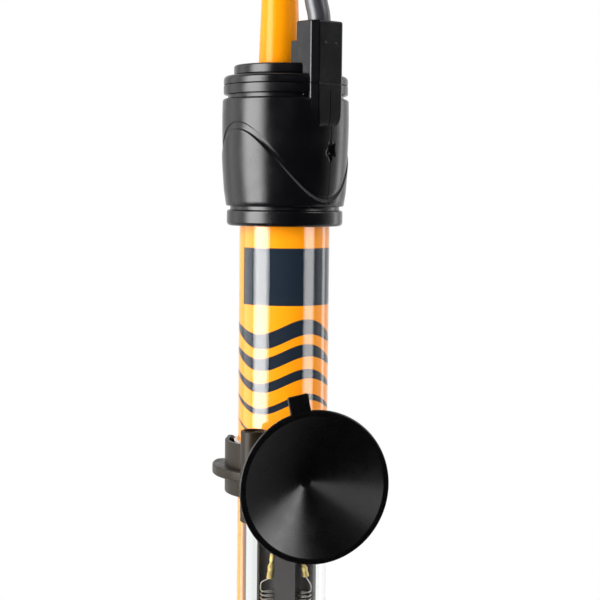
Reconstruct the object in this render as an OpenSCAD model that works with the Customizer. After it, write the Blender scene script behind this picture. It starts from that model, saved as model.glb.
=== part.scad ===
// Submersible aquarium heater, millimetres.
// +Z runs up along the glass tube. The origin is the middle of the upper suction cup, in the plane
// of the aquarium wall that the cups hold to; the heater stands off from that wall towards +Y.

/* [Glass tube] */
// Outer diameter of the glass tube
tube_d = 25; // [24:0.5:27]
// Wall of the glass
tube_wall = 1.2; // [1:0.1:1.5]
// Glass below the lower end of the heating element, with the room for its pad
end_room = 20; // [16:1:40]
// Rounding of the closed end of the glass
tube_corner = 8; // [5:0.5:10]
// Length of glass held in the head
tube_in_head = 31.2; // [28:0.1:33]
// Thickness of the colour film inside the glass
film_t = 0.25; // [0.2:0.05:0.4]
// Bare glass between the film's lower edge and the middle of the upper suction cup
film_drop = 10; // [4:0.5:14]
// Width of the film's tail, as an angle round the tube
film_tail_angle = 40; // [30:1:50]

/* [Head] */
// Height of the head's foot above the middle of the upper suction cup
head_up = 67.8; // [62:0.1:80]
// Wall of the head at its widest, measured from the glass
head_bulge = 5; // [4.6:0.1:6]
// Height of the foot ring
foot_h = 4.4; // [3:0.1:6]
// Height of the barrel between the two grooves
barrel_h = 29.4; // [27:0.1:33]
// Width of the grooves that set off the rings
groove_w = 1; // [0.6:0.1:1.6]
// Depth of the grooves
groove_deep = 0.9; // [0.5:0.1:1.2]
// Height of the ring's half on the sleeve
ring_low_h = 2.7; // [2:0.1:4]
// Height of the ring's half on the cap
ring_top_h = 2.5; // [2:0.1:4]
// Height of the dial plate above the cap
dial_h = 2.9; // [2.4:0.1:4]
// Step of the two seals on the glass, from the head's foot up
seal_step = 9; // [7:0.5:11]
// Turn of the cable block from the cups' side
head_turn = 25; // [10:1:40]

/* [Knob] */
// Radius of the knob at its foot
knob_r = 5.75; // [5:0.05:6.5]
// Height of the knob
knob_h = 27.7; // [20:0.1:34]
// How much narrower the knob's radius is at the top
knob_taper = 1; // [0:0.05:1.6]
// Wall of the knob
knob_wall = 1.3; // [1:0.1:1.8]
// Distance of the knob's axis from the tube's axis
knob_off = 2.8; // [2:0.1:3.4]
// Radius of the adjuster shaft
shaft_r = 2; // [1.8:0.05:2.3]
// Radius of the adjuster's screw
screw_r = 1.5; // [1.2:0.05:1.7]

/* [Cable block] */
// Width of the cable block
block_w = 11.5; // [10.5:0.1:13]
// Thickness of the cable block
block_t = 7.3; // [7.2:0.1:8.5]
// Distance of the block's front face from the tube's axis, past the widest radius of the head
block_proud = 0.5; // [0.3:0.1:1.2]
// Height of the block above the cap
block_h = 14.1; // [10:0.1:18]
// Chamfer of the block's outer edges
block_chamfer = 1.6; // [0.8:0.1:2]
// Height of the low step behind the block
step_h = 9; // [5:0.1:10]
// Depth of the low step behind the block
step_t = 2.5; // [1.5:0.1:3]
// Length of the block's lower end on the barrel
wedge_h = 8.6; // [6:0.1:12]

/* [Mains lead] */
// Diameter of the mains lead
lead_d = 6.2; // [5.8:0.1:6.4]
// Length of the hank's runs, about 15 to 20 lead diameters
hank_run = 108; // [100:1:120]
// Distance between the hank's neighbouring turns across a layer
hank_step = 7.3; // [7.2:0.1:8]
// Distance between the hank's two layers
hank_layer = 6.9; // [6.8:0.1:7.5]
// Width of the tie round the hank
tie_w = 9; // [6:0.5:14]
// Thickness of the tie
tie_t = 1.2; // [0.8:0.1:2]

/* [Plug] */
// Width of the plug body
plug_w = 35.3; // [34:0.1:36]
// Thickness of the plug body
plug_t = 13.7; // [13:0.1:14]
// Length of the plug body
plug_h = 36; // [32:0.5:42]
// Length of the plug's tapered strain relief
boot_h = 22; // [20:0.5:30]
// Diameter of the plug pins
pin_d = 4; // [3.9:0.1:4.8]
// Length of the plug pins
pin_h = 19; // [17:0.5:20]
// Distance between the plug pins
pin_gap = 18.6; // [17:0.1:19.2]

/* [Clips] */
// Distance of the lower suction cup below the upper one
clip_pitch = 128; // [110:1:130]
// Outer radius of the clip's ring beyond the glass
ring_out = 3.6; // [3.2:0.1:4.4]
// Wall of the clip's ring
ring_wall = 1.3; // [1:0.1:1.6]
// Height of the clip's ring
ring_h = 14.6; // [12:0.1:18]
// Projection of the flange from the ring
flange_out = 3.5; // [2.5:0.1:4]
// Thickness of the flange
flange_t = 2.7; // [2:0.1:3.5]
// Height of the ring's middle above the cup's centre
ring_lift = 0.8; // [0:0.1:1.5]
// Half of the ring's opening, as an angle
ring_gap = 52; // [45:1:56]
// Radius of the clip's hollow posts
post_r = 3.6; // [3.4:0.1:4]
// Wall of the posts
post_wall = 0.8; // [0.6:0.1:1.2]
// Height of the posts
post_h = 24.8; // [20:0.1:28]
// Height of the posts' middle above the cup's centre
post_lift = 0.6; // [0:0.1:1.5]
// Angle of each post from the cup's axis
post_angle = 41; // [39:1:46]
// Thickness of the bracket plate that holds the cup
plate_t = 1.6; // [1.2:0.1:2]
// Height of the bracket plate
plate_h = 16; // [14:0.5:20]
// Thickness of the grip liner
liner_t = 1; // [0.8:0.05:1.2]

/* [Suction cups] */
// Radius of a suction cup
cup_r = 20.5; // [18:0.1:22]
// Depth of the hollow of a cup
cup_deep = 9.2; // [7:0.1:11]
// Wall of the cup at its middle
cup_apex = 1.4; // [1:0.1:2]
// Width of the flat lip round the rim
lip_w = 1.6; // [1:0.1:2.5]
// Radius of the cup's neck
neck_r = 3.6; // [3:0.1:4]
// Radius of the button behind the bracket plate
button_r = 4.5; // [4.3:0.1:5]
// Thickness of the button
button_t = 1.8; // [1.4:0.1:2.4]
// Length of the pull tab past the rim
tab_l = 4.4; // [3:0.1:6]
// Width of the pull tab
tab_w = 5.6; // [4:0.1:8]
// Turn of the pull tab from the top
tab_turn = 11.5; // [0:0.5:45]

/* [Heating element] */
// Radius of the ceramic core
core_r = 8.3; // [8:0.1:8.6]
// Length of the core
core_h = 134; // [125:1:135]
// Distance of the core's axis from the tube's axis
core_off = 1.5; // [0:0.1:1.8]
// Direction in which the core's rib faces, from the cups' side
core_turn = -20; // [-30:1:0]
// Half of the width of the core's two slots
groove_r = 2.35; // [2.3:0.05:2.5]
// Radius of the heating coils at the middle of the wire
coil_r = 1.8; // [1.6:0.05:1.9]
// Diameter of the heating wire
coil_wire = 0.6; // [0.4:0.05:0.7]
// Turns of each heating coil
coil_turns = 32; // [20:1:34]

/* [Thermostat] */
// Width of the thermostat's frame
frame_w = 14; // [12:0.5:15]
// Thickness of the frame's back
frame_t = 1.5; // [1.2:0.1:2]
// Length of the bimetal strip
strip_h = 50; // [40:1:54]
// Width of the bimetal strip
strip_w = 6; // [4:0.5:7]
// Thickness of the bimetal strip
strip_t = 0.8; // [0.6:0.1:1]
// Radius of the indicator lamp
lamp_r = 2; // [1.6:0.1:2.1]

/* [Bottom cap] */
// Height of the bottom cap
cap_h = 22; // [16:0.5:26]
// Wall of the bottom cap
cap_wall = 1.8; // [1.4:0.1:2.6]

/* [Fits] */
// Clearance of a piece that turns or slides on another
run_gap = 0.05; // [0.03:0.01:0.08]
// Clearance of a piece that is set into another
set_gap = 0.1; // [0.05:0.01:0.15]
// Air between pieces that move past each other
air_gap = 0.3; // [0.3:0.05:0.5]

/* [Hidden] */

$fn = 96;
fine_fn = 48;
eps = 0.01;
far = 60;

// Tube and the rings round it
tube_r = tube_d / 2;
bore_r = tube_r - tube_wall;
film_r = bore_r - run_gap;
free_r = film_r - film_t - set_gap;
ring_r = tube_r + ring_out;
flange_r = ring_r + flange_out;
liner_r = tube_r + run_gap + liner_t;

// Distance from the aquarium wall to the tube's axis: cup, neck, plate, button and ring in a row
plate_y = cup_deep + cup_apex + air_gap;
button_y = plate_y + plate_t + air_gap;
axis_y = button_y + button_t + air_gap + ring_r;

// Heights up the head
barrel_z = head_up + foot_h + groove_w;
ring_z = barrel_z + barrel_h + groove_w;
seam_z = ring_z + ring_low_h;
cap_z = seam_z + ring_top_h;
dial_z = cap_z + dial_h;
knob_z = dial_z + 0.6;
block_z = cap_z + block_h;
tube_top = head_up + tube_in_head;
film_top = tube_top - 11;
stopper_t = 2.1;

// Radii of the head
head_r = tube_r + head_bulge;
ring_edge_r = head_r - 0.35;
foot_r = head_r - 1.45;
dial_r = ring_edge_r - 2.8;
barrel_foot_r = head_r - 1.2;
chamber_r = bore_r - 0.8;
block_y = head_r + block_proud;
step_y = block_y - block_t;

// Thermostat and adjuster
shaft_low = film_top - 7;
screw_low = shaft_low - 11;
nut_h = 6;
nut_z = screw_low + 2;
nut_pin_r = 0.9;
frame_z = -6;
frame_y = -6.2;
strip_z = 9;
strip_y = frame_y + frame_t + 4.6;
contact_z = strip_z + strip_h - 4;
contact_t = 1;

// Wires through the stopper
wire_x = 5.2;
wire_y = -3;
wire_d = 1.4;

// Element
core_top = -14;
core_low = core_top - core_h;
coil_top = core_top - 19.7;
coil_low = core_low + 5;
groove_x = 5.1;
groove_y = -4.2;
link_r = 0.35;
left_foot = [-4.3, groove_y - 1.2, coil_top + 3.4];
right_foot = [5.5, groove_y - 1.2, coil_top + 4.2];
left_lean = 6;
right_lean = -11;
pad_t = 7;

// Lower clip and bottom cap
lower_z = -clip_pitch;
tube_low = core_low - end_room;
cap_low = tube_low - air_gap - 3.7;

// Mains lead: its own plane runs from the block straight back behind the tube
lead_turn = -16.5;
lead_r = lead_d / 2;
hank_w = 27.8;
hank_u = 51.3;
hank_top = 84;
waist_in = 14.5;
tail_u = 30.5;
tail_n = 3.45;
plug_z = -70;

// Where the lead leaves the block, in the lead's plane
function turned(p, a) = [p[0] * cos(a) - p[1] * sin(a), p[0] * sin(a) + p[1] * cos(a)];
lead_z = 112;
lead_in = turned([-0.9, -block_y + lead_r + 0.6], head_turn - lead_turn);

// Route of the lead from the block over the top, as sideways, back and height
LEAD = [[lead_in[0], lead_in[1], lead_z], [lead_in[0], lead_in[1], block_z + 0.1],
    [7.9, -11.3, 128], [6.9, -11.3, 134], [4.8, -11.1, 146], [2.2, -7.9, 158.5], [0, 1.4, 168],
    [-1.6, 14.2, 171.5], [-2.6, 27, 168], [-3.2, 36.3, 158.5], [-3.4, 39.7, 146],
    [-3.45, 38.4, 137], [-3.45, 34.5, 127], [-3.45, 29, 116], [-3.45, 25, 106],
    [-3.45, 23.5, 96.4], [-3.45, 23.5, 90.2]];
// Route of the lead's end from the hank down to the plug
TAIL = [[3.45, 23.5, -30.2], [3.45, 23.5, -36.4], [3.45, 24.5, -43], [3.45, 27, -50],
    [3.45, 29.5, -57], [3.45, 30.5, -63.8], [3.45, 30.5, -70]];

// ---- small helpers ----

module at_axis(turn = 0) {
    translate([0, axis_y, 0]) rotate([0, 0, turn]) children();
}

module disc(r, z0, z1) {
    translate([0, 0, z0]) cylinder(r = r, h = z1 - z0);
}

module tube_part(r_out, r_in, z0, z1) {
    difference() {
        disc(r_out, z0, z1);
        disc(r_in, z0 - 1, z1 + 1);
    }
}

module block_at(x0, x1, y0, y1, z0, z1) {
    translate([x0, y0, z0]) cube([x1 - x0, y1 - y0, z1 - z0]);
}

module ring_of(r, section_r, z) {
    translate([0, 0, z]) rotate_extrude() translate([r, 0]) circle(r = section_r, $fn = fine_fn);
}

// Points of a quarter arc, from angle a0 to a1 about a centre
function arc(cx, cy, r, a0, a1, n = 6) =
    [for (i = [0:n]) let (a = a0 + (a1 - a0) * i / n) [cx + r * cos(a), cy + r * sin(a)]];

// ---- tubes along a path ----

function unit(v) = v / norm(v);

function tangents(p) = let (n = len(p) - 1)
    [for (i = [0:n]) unit(p[min(i + 1, n)] - p[max(i - 1, 0)])];

function carry(v, t) = unit(v - (v * t) * t);

function normals(t, start) =
    [for (i = 0, v = carry(start, t[0]); i < len(t);
        i = i + 1, v = i < len(t) ? carry(v, t[i]) : v) v];

module tube_along(path, r, sides = 10, start = [1, 0.1, 0.05]) {
    t = tangents(path);
    n = normals(t, start);
    count = len(path);
    skin = [for (i = [0:count - 1]) for (k = [0:sides - 1])
        let (a = 360 * k / sides)
        path[i] + r * (cos(a) * n[i] + sin(a) * cross(t[i], n[i]))];
    walls = [for (i = [0:count - 2]) for (k = [0:sides - 1])
        let (a = i * sides + k, b = i * sides + (k + 1) % sides)
        each [[a, a + sides, b], [b, a + sides, b + sides]]];
    foot = [for (k = [1:sides - 2]) [0, k, k + 1]];
    top = let (m = (count - 1) * sides) [for (k = [1:sides - 2]) [m, m + k + 1, m + k]];
    polyhedron(points = skin, faces = concat(walls, foot, top), convexity = 6);
}

// Least distance between points of a path that are at least skip points apart, less a diameter
function least_gap(p, skip, reach, d) =
    min([for (i = [0:len(p) - 1 - skip]) for (j = [i + skip:min(len(p) - 1, i + reach)])
        norm(p[i] - p[j])]) - d;

// ---- glass tube and film ----

function closed_end(r, corner, z0, z1) =
    concat([[0, z0]], arc(r - corner, z0 + corner, corner, -90, 0, 8), [[r, z1], [0, z1]]);

module glass_tube() {
    color([0.86, 0.9, 0.92, 0.35])
    at_axis() difference() {
        rotate_extrude() polygon(closed_end(tube_r, tube_corner, tube_low, tube_top));
        rotate_extrude() polygon(
            closed_end(bore_r, tube_corner - tube_wall, tube_low + tube_wall, tube_top + 1));
    }
}

module colour_film() {
    low = core_low - 2;
    color("orange")
    at_axis() {
        tube_part(film_r, film_r - film_t, -film_drop, film_top);
        rotate([0, 0, core_turn - 176 - film_tail_angle / 2])
            rotate_extrude(angle = film_tail_angle)
            translate([film_r - film_t, low]) square([film_t, -film_drop - low - 2 * eps]);
    }
}

// ---- head ----

function barrel_r(t) = barrel_foot_r + (head_r - barrel_foot_r) * sin(115 * t);

function sleeve_outline() = concat(
    arc(foot_r - 1.2, head_up + 1.2, 1.2, -90, 0, 4),
    arc(foot_r - 0.8, barrel_z - groove_w - 0.8, 0.8, 0, 90, 3),
    [[foot_r - groove_deep, barrel_z - groove_w], [foot_r - groove_deep, barrel_z]],
    [for (i = [0:12]) [barrel_r(i / 12), barrel_z + (barrel_h - 0.6) * i / 12]],
    [[barrel_r(1) - 0.7, barrel_z + barrel_h],
        [ring_edge_r - groove_deep - 0.3, barrel_z + barrel_h],
        [ring_edge_r - groove_deep - 0.3, ring_z], [ring_edge_r - 0.3, ring_z],
        [ring_edge_r, ring_z + 0.3], [ring_edge_r, seam_z - 0.2], [ring_edge_r - 0.2, seam_z]]);

function block_outline() = [[-block_w / 2, -step_y + 0.01], [-block_w / 2, -block_y + block_chamfer],
    [-block_w / 2 + block_chamfer, -block_y], [block_w / 2 - block_chamfer, -block_y],
    [block_w / 2, -block_y + block_chamfer], [block_w / 2, -step_y + 0.01]];

module wedge() {
    intersection() {
        translate([0, 0, seam_z - wedge_h - 6]) linear_extrude(wedge_h + 6) polygon(block_outline());
        rotate([90, 0, 90]) translate([0, 0, -block_w]) linear_extrude(2 * block_w)
            polygon([[-tube_r - 2, seam_z], [-block_y, seam_z], [-block_y, seam_z - wedge_h * 0.5],
                [-head_r - 0.1, seam_z - wedge_h], [-tube_r - 2, seam_z - wedge_h - 2]]);
    }
}

module head_sleeve() {
    seat_z = tube_top + stopper_t + set_gap;
    color([0.13, 0.13, 0.14])
    at_axis(head_turn) difference() {
        union() {
            rotate_extrude() polygon(concat([[0, head_up]], sleeve_outline(), [[0, seam_z]]));
            wedge();
        }
        disc(tube_r + set_gap, head_up - 1, seat_z);
        disc(chamber_r + 0.3, head_up, seam_z + 1);
        for (z = seal_heights()) disc(tube_r + 1.8, z - 1.2, z + 1.2);
    }
}

function seal_heights() = [head_up + seal_step, head_up + 2 * seal_step];

module tube_seals() {
    color([0.12, 0.12, 0.12])
    at_axis() for (z = seal_heights()) ring_of(tube_r + 0.93, 0.84, z);
}

module lead_bore(z0) {
    at_lead() translate([lead_in[0], lead_in[1], z0]) cylinder(r = lead_r + set_gap, h = far);
}

module head_cap() {
    spigot_r = chamber_r + 0.2;
    color([0.15, 0.15, 0.16])
    difference() {
        at_axis(head_turn) difference() {
            union() {
                rotate_extrude() polygon(concat([[0, seam_z], [ring_edge_r - 0.2, seam_z],
                    [ring_edge_r, seam_z + 0.2]],
                    arc(ring_edge_r - 1, cap_z - 1, 1, 0, 90, 4), [[0, cap_z]]));
                disc(spigot_r, seam_z - 2.5, seam_z + 1);
                translate([0, 0, seam_z]) linear_extrude(block_z - seam_z)
                    polygon(block_outline());
                block_at(-block_w / 2, block_w / 2, -step_y, -step_y + step_t, seam_z + 1,
                    cap_z + step_h);
            }
            disc(spigot_r - 1.4, seam_z - 3, seam_z + 1);
            translate([0, knob_off, 0]) disc(shaft_r + run_gap, seam_z, cap_z + 1);
            block_at(-2.6, 2.6, -block_y + 2.2, -chamber_r + 4, seam_z - 3, seam_z + 1.8);
            block_at(-2.6, 2.6, -block_y + 2.2, -block_y + 5.4, seam_z - 3, lead_z + 1);
        }
        lead_bore(lead_z);
    }
}

module dial_plate() {
    color([0.14, 0.14, 0.15])
    at_axis(head_turn) difference() {
        rotate_extrude() polygon(concat([[0, cap_z], [dial_r, cap_z]],
            arc(dial_r - 0.7, dial_z - 0.7, 0.7, 0, 90, 4), [[0, dial_z]]));
        block_at(-block_w / 2 - set_gap, block_w / 2 + set_gap, -far, -step_y + step_t + set_gap,
            cap_z - 1, dial_z + 1);
        translate([0, knob_off, 0]) {
            disc(shaft_r + run_gap, cap_z - 1, dial_z + 1);
            disc(shaft_r + 1.5, cap_z - 1, cap_z + 1.5);
        }
    }
}

module shaft_seal() {
    color([0.1, 0.1, 0.1])
    at_axis(head_turn) translate([0, knob_off, 0])
        ring_of(shaft_r + run_gap + 0.7, 0.68, cap_z + 0.72);
}

module wire_bores(r, z0, z1) {
    for (s = [-1, 1]) translate([s * wire_x, wire_y, 0]) disc(r, z0, z1);
}

module tube_stopper() {
    color([0.55, 0.2, 0.12])
    at_axis(head_turn) difference() {
        union() {
            disc(bore_r - set_gap, film_top + air_gap, tube_top + eps);
            disc(tube_r - 0.2, tube_top, tube_top + stopper_t);
        }
        translate([0, knob_off, 0]) disc(shaft_r + run_gap, film_top, tube_top + 4);
        wire_bores(0.85, film_top, tube_top + 4);
    }
}

// ---- wires from the lead ----

function wire_route(s) = [[s * 1.2, -block_y + 3.9, lead_z - 0.2], [s * 1.2, -block_y + 3.9, seam_z + 2.9],
    [s * 1.25, -block_y + 4.3, seam_z + 1.6], [s * 1.4, -block_y + 5.4, seam_z + 0.95],
    [s * 1.6, -10.4, seam_z + 0.85], [s * 1.8, -8.6, seam_z + 0.2], [s * 2.6, -7, seam_z - 0.5],
    [s * 3.8, -5.2, seam_z - 2], [s * 4.9, -3.5, seam_z - 3.2], [s * wire_x, wire_y, seam_z - 4.4],
    [s * wire_x, wire_y, tube_top - 1], [s * wire_x, wire_y, film_top]];

module live_wire() {
    color([0.45, 0.24, 0.12]) at_axis(head_turn)
        tube_along(concat(wire_route(1), [[wire_x, wire_y, film_top - 12], [4.2, -3, film_top - 20],
            [2.8, -3.05, contact_z + 7], [2.2, -3.1, contact_z + 2.6]]), wire_d / 2, 8);
}

module neutral_wire() {
    end_at = turned([core_off - groove_x, groove_y], core_turn - head_turn);
    color([0.15, 0.3, 0.6]) at_axis(head_turn)
        tube_along(concat(wire_route(-1), [[-wire_x - 0.4, wire_y + 0.4, film_top - 8],
            [-8.2, -1, film_top - 18], [-9, -0.5, film_top - 30], [-9, -0.5, 30], [-9, -0.5, 8],
            [-8.2, -0.5, 2], [-6.6, -0.5, -1.2],
            [end_at[0], end_at[1], core_top + 9.9]]), wire_d / 2, 8);
}

// ---- thermostat ----

module thermostat_frame() {
    side = frame_w / 2;
    bridge_y = sqrt(pow(free_r, 2) - pow(side, 2)) - 0.2;
    color([0.85, 0.83, 0.76])
    at_axis(head_turn) intersection() {
        disc(free_r, frame_z - 2, film_top);
        difference() {
            union() {
                block_at(-side, side, frame_y, frame_y + frame_t, frame_z, film_top);
                block_at(-side, side, frame_y, bridge_y, film_top - 4, film_top);
                block_at(-side, side, frame_y, bridge_y, frame_z, frame_z + 3);
                block_at(-strip_w / 2, strip_w / 2, frame_y, strip_y - strip_t / 2 - air_gap,
                    strip_z - 2.5, strip_z + 3);
                for (x = [-side, side - 1.2])
                    block_at(x, x + 1.2, frame_y, frame_y + 2.2, contact_z - 3, film_top);
            }
            translate([0, knob_off, 0]) disc(shaft_r + run_gap, film_top - 5, film_top + 1);
            wire_bores(wire_d / 2 + 0.3, film_top - 5, film_top + 1);
            block_at(-far, -side + 3, -3.6, 2, frame_z - 1, frame_z + 4);
        }
    }
}

module strip_clamp() {
    back_y = frame_y + frame_t;
    under_y = strip_y + strip_t / 2 + air_gap;
    reach = strip_w / 2 + 1.8;
    color([0.8, 0.66, 0.35])
    at_axis(head_turn) {
        block_at(-reach, reach, under_y, under_y + 1.2, strip_z - 2.5, strip_z + 3);
        for (s = [-1, 1]) translate([s * (strip_w / 2 + 0.9), 0, strip_z]) rotate([-90, 0, 0]) {
            translate([0, 0, back_y]) cylinder(r = 0.8, h = under_y + 1.5 - back_y, $fn = 24);
            translate([0, 0, under_y + 1.1]) cylinder(r = 1.3, h = 0.8, $fn = 24);
        }
    }
}

module bimetal_strip() {
    color([0.72, 0.62, 0.45])
    at_axis(head_turn) difference() {
        block_at(-strip_w / 2, strip_w / 2, strip_y - strip_t / 2, strip_y + strip_t / 2,
            strip_z - 2.5, strip_z + strip_h);
        translate([0, 0, strip_z + strip_h * 0.5]) rotate([90, 0, 0])
            cylinder(r = 1, h = far, center = true, $fn = 24);
    }
}

module moving_contact() {
    color([0.82, 0.82, 0.84])
    at_axis(head_turn) translate([0, strip_y - strip_t / 2, contact_z]) rotate([90, 0, 0])
        cylinder(r = 1.6, h = contact_t, $fn = 32);
}

module fixed_contact() {
    gap_y = strip_y - strip_t / 2 - contact_t - 0.12;
    color([0.8, 0.64, 0.3])
    at_axis(head_turn) {
        block_at(-2.6, 2.9, frame_y + frame_t, frame_y + frame_t + 0.8, contact_z - 3,
            contact_z + 3);
        block_at(-1.2, 1.2, frame_y + frame_t + 0.7, gap_y - 0.9, contact_z - 1.2,
            contact_z + 1.2);
        translate([0, gap_y, contact_z]) rotate([90, 0, 0]) cylinder(r = 1.6, h = 1, $fn = 32);
    }
}

module snap_magnet() {
    color([0.3, 0.3, 0.33])
    at_axis(head_turn)
        block_at(-2, 2, frame_y + frame_t, strip_y - strip_t / 2 - 1.2, contact_z - 12,
            contact_z - 6);
}

module indicator_lamp() {
    lamp_y = frame_y + frame_t + 4.7;
    color([0.9, 0.5, 0.35, 0.8])
    at_axis(head_turn) translate([strip_w / 2 + lamp_r + 0.2, lamp_y, 0]) {
        disc(lamp_r, 26, 38);
        translate([0, 0, 38]) sphere(r = lamp_r);
        for (s = [-0.8, 0.8]) translate([s, 0, 0]) disc(0.3, 21, 26 + eps);
        block_at(-lamp_r, lamp_r, -4.7, lamp_r * 0.7, 19.5, 21 + eps);
    }
}

module lamp_resistor() {
    part_y = frame_y + frame_t + 1.25;
    color([0.78, 0.68, 0.5])
    at_axis(head_turn) translate([frame_w / 2 - 2.7, part_y, 0]) {
        disc(1.2, 43, 49);
        disc(0.3, 41, 51);
    }
}

module suppressor_capacitor() {
    color([0.75, 0.6, 0.15])
    at_axis(head_turn)
        block_at(-frame_w / 2 + 1.3, -frame_w / 2 + 3.5, frame_y + frame_t, frame_y + frame_t + 5,
            24, 34);
}

module adjuster_nut() {
    color([0.8, 0.66, 0.35])
    at_axis(head_turn) difference() {
        union() {
            block_at(-3, 3, frame_y + frame_t + air_gap, knob_off + 3, nut_z, nut_z + nut_h);
            translate([0, strip_y - strip_t / 2 - air_gap - nut_pin_r, 0])
                disc(nut_pin_r, contact_z + 2.2, nut_z + eps);
        }
        translate([0, knob_off, 0]) disc(screw_r + run_gap, nut_z - 1, nut_z + nut_h + 1);
    }
}

module adjuster_shaft() {
    color([0.72, 0.72, 0.74])
    at_axis(head_turn) translate([0, knob_off, 0]) {
        disc(shaft_r, shaft_low, knob_z + knob_h - 6);
        disc(screw_r, screw_low, shaft_low + eps);
    }
}

module shaft_clip() {
    color([0.6, 0.6, 0.62])
    at_axis(head_turn) translate([0, knob_off, 0])
        tube_part(shaft_r + 1.6, shaft_r + 0.02, seam_z - 0.1, seam_z + 0.7);
}

module knob() {
    top_r = knob_r - knob_taper;
    color([1, 0.62, 0.06])
    at_axis(head_turn) translate([0, knob_off, 0]) difference() {
        rotate_extrude() polygon(concat([[0, knob_z], [knob_r - 0.3, knob_z],
            [knob_r, knob_z + 0.3], [knob_r, knob_z + 0.9]],
            arc(top_r - 1.6, knob_z + knob_h - 1.6, 1.6, 0, 90, 6), [[0, knob_z + knob_h]]));
        difference() {
            translate([0, 0, knob_z - 1])
                cylinder(r1 = knob_r - knob_wall, r2 = top_r - knob_wall, h = knob_h - 1);
            disc(shaft_r + 1, knob_z + 2, knob_z + knob_h);
        }
        disc(shaft_r + 0.02, knob_z - 1, knob_z + knob_h - 5.5);
    }
}

// ---- heating element ----

module at_core() {
    at_axis(core_turn) translate([core_off, 0, 0]) children();
}

module element_core() {
    color([0.24, 0.22, 0.21])
    at_core() difference() {
        disc(core_r, core_low, core_top);
        for (s = [-1, 1]) {
            translate([s * groove_x, groove_y, 0]) disc(groove_r, core_low - 1, core_top + 1);
            block_at(s * groove_x - groove_r, s * groove_x + groove_r, -far, groove_y,
                core_low - 1, core_top + 1);
        }
        block_at(-far, far, -far, -core_r + 0.6, core_low - 1, core_top + 1);
        disc(1.4, core_low - 1, core_top + 1);
    }
}

module heat_shields() {
    color([0.8, 0.76, 0.66])
    at_axis(core_turn) {
        difference() {
            union() {
                disc(free_r - 0.2, core_top + 3.2, core_top + 3.8);
                disc(free_r - 0.2, core_top + 6.4, core_top + 7);
                translate([core_off, 0, 0]) disc(1.2, core_top - 4, core_top + 7.8);
            }
            translate([core_off, 0, 0]) for (s = [-1, 1]) translate([s * groove_x, groove_y, 0])
                disc(1.1, core_top, core_top + 9);
        }
    }
}

// Helix with straight ends, 8 points a turn; it starts inward and ends outward
function coil_path() = let (n = coil_turns * 8 + 4, rise = coil_top - coil_low)
    concat([[coil_r, 0, coil_low - 1.4], [coil_r, 0, coil_low - 0.7]],
        [for (i = [0:n]) [coil_r * cos(45 * i), coil_r * sin(45 * i), coil_low + rise * i / n]],
        [[-coil_r, 0, coil_top + 0.7], [-coil_r, 0, coil_top + 1.4]]);

module heating_coil(side) {
    color([0.7, 0.69, 0.66])
    at_core() translate([side * groove_x, groove_y, 0]) mirror([side > 0 ? 1 : 0, 0, 0])
        tube_along(coil_path(), coil_wire / 2, 6);
}

module left_coil() {
    heating_coil(-1);
}

module right_coil() {
    heating_coil(1);
}

module coil_link() {
    end_x = groove_x - coil_r;
    z0 = coil_low - 1.5;
    low = core_low - 1;
    bend_x = end_x - 0.7;
    color([0.7, 0.69, 0.66])
    at_core() tube_along([[-end_x, groove_y, z0], [-end_x, groove_y, z0 - 2], [-end_x, groove_y, low],
        [-bend_x, groove_y, low - 0.7], [0, groove_y, low - 0.9], [bend_x, groove_y, low - 0.7],
        [end_x, groove_y, low], [end_x, groove_y, z0 - 2], [end_x, groove_y, z0]], link_r, 6);
}

// A crimp ferrule: a fat sleeve and a slim one, joined by a taper
module ferrule(foot, lean, h) {
    translate(foot) rotate([0, lean, 0]) rotate_extrude() polygon([[0, 0], [0.95, 0], [0.95, h * 0.55],
        [0.55, h * 0.68], [0.55, h], [0, h]]);
}

module crimp_ferrules() {
    color([0.85, 0.74, 0.4])
    at_core() {
        ferrule(left_foot, left_lean, 7);
        ferrule(right_foot, right_lean, 5);
    }
}

// Point on a ferrule's axis, so far from its foot
function on_ferrule(foot, lean, l) = foot + l * [sin(lean), 0, cos(lean)];

module feed_wires() {
    out_x = groove_x + coil_r;
    y = groove_y - 1.2;
    out_z = core_top + 9.6;
    color([0.78, 0.78, 0.76])
    at_core() {
        tube_along([[-out_x, groove_y, coil_top + 1.46], [-out_x, groove_y, coil_top + 1.9],
            [-out_x + 0.7, y + 0.4, coil_top + 2.7], on_ferrule(left_foot, left_lean, -0.6),
            on_ferrule(left_foot, left_lean, -0.06)], link_r, 6);
        tube_along([[out_x, groove_y, coil_top + 1.46], [out_x, groove_y, coil_top + 1.9],
            [out_x - 0.5, y + 0.4, coil_top + 3], on_ferrule(right_foot, right_lean, -0.6),
            on_ferrule(right_foot, right_lean, -0.06)], link_r, 6);
        tube_along([on_ferrule(left_foot, left_lean, 7.06), on_ferrule(left_foot, left_lean, 7.8),
            [-3.5, y + 0.2, core_top - 5], [-groove_x, groove_y, core_top + 2],
            [-groove_x, groove_y, out_z]], 0.6, 8);
        tube_along([on_ferrule(right_foot, right_lean, 5.06), on_ferrule(right_foot, right_lean, 5.8),
            [4.3, y + 0.2, core_top - 5], [groove_x, groove_y, core_top + 2],
            [groove_x, groove_y, out_z]], 0.6, 8);
    }
}

module core_pad() {
    pad_z = core_low - 2.4;
    color([0.8, 0.8, 0.78])
    at_axis() {
        disc(bore_r - 0.4, pad_z - pad_t, pad_z);
        disc(bore_r - tube_corner + 1, tube_low + tube_wall + 0.05, pad_z);
        at_axis_free() disc(core_r - 1.5, pad_z - 1, core_low);
    }
}

module at_axis_free() {
    rotate([0, 0, core_turn]) translate([core_off, 0, 0]) difference() {
        children();
        block_at(-far, far, -far, groove_y + 1.6, core_low - 5, core_low + 1);
    }
}

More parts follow.
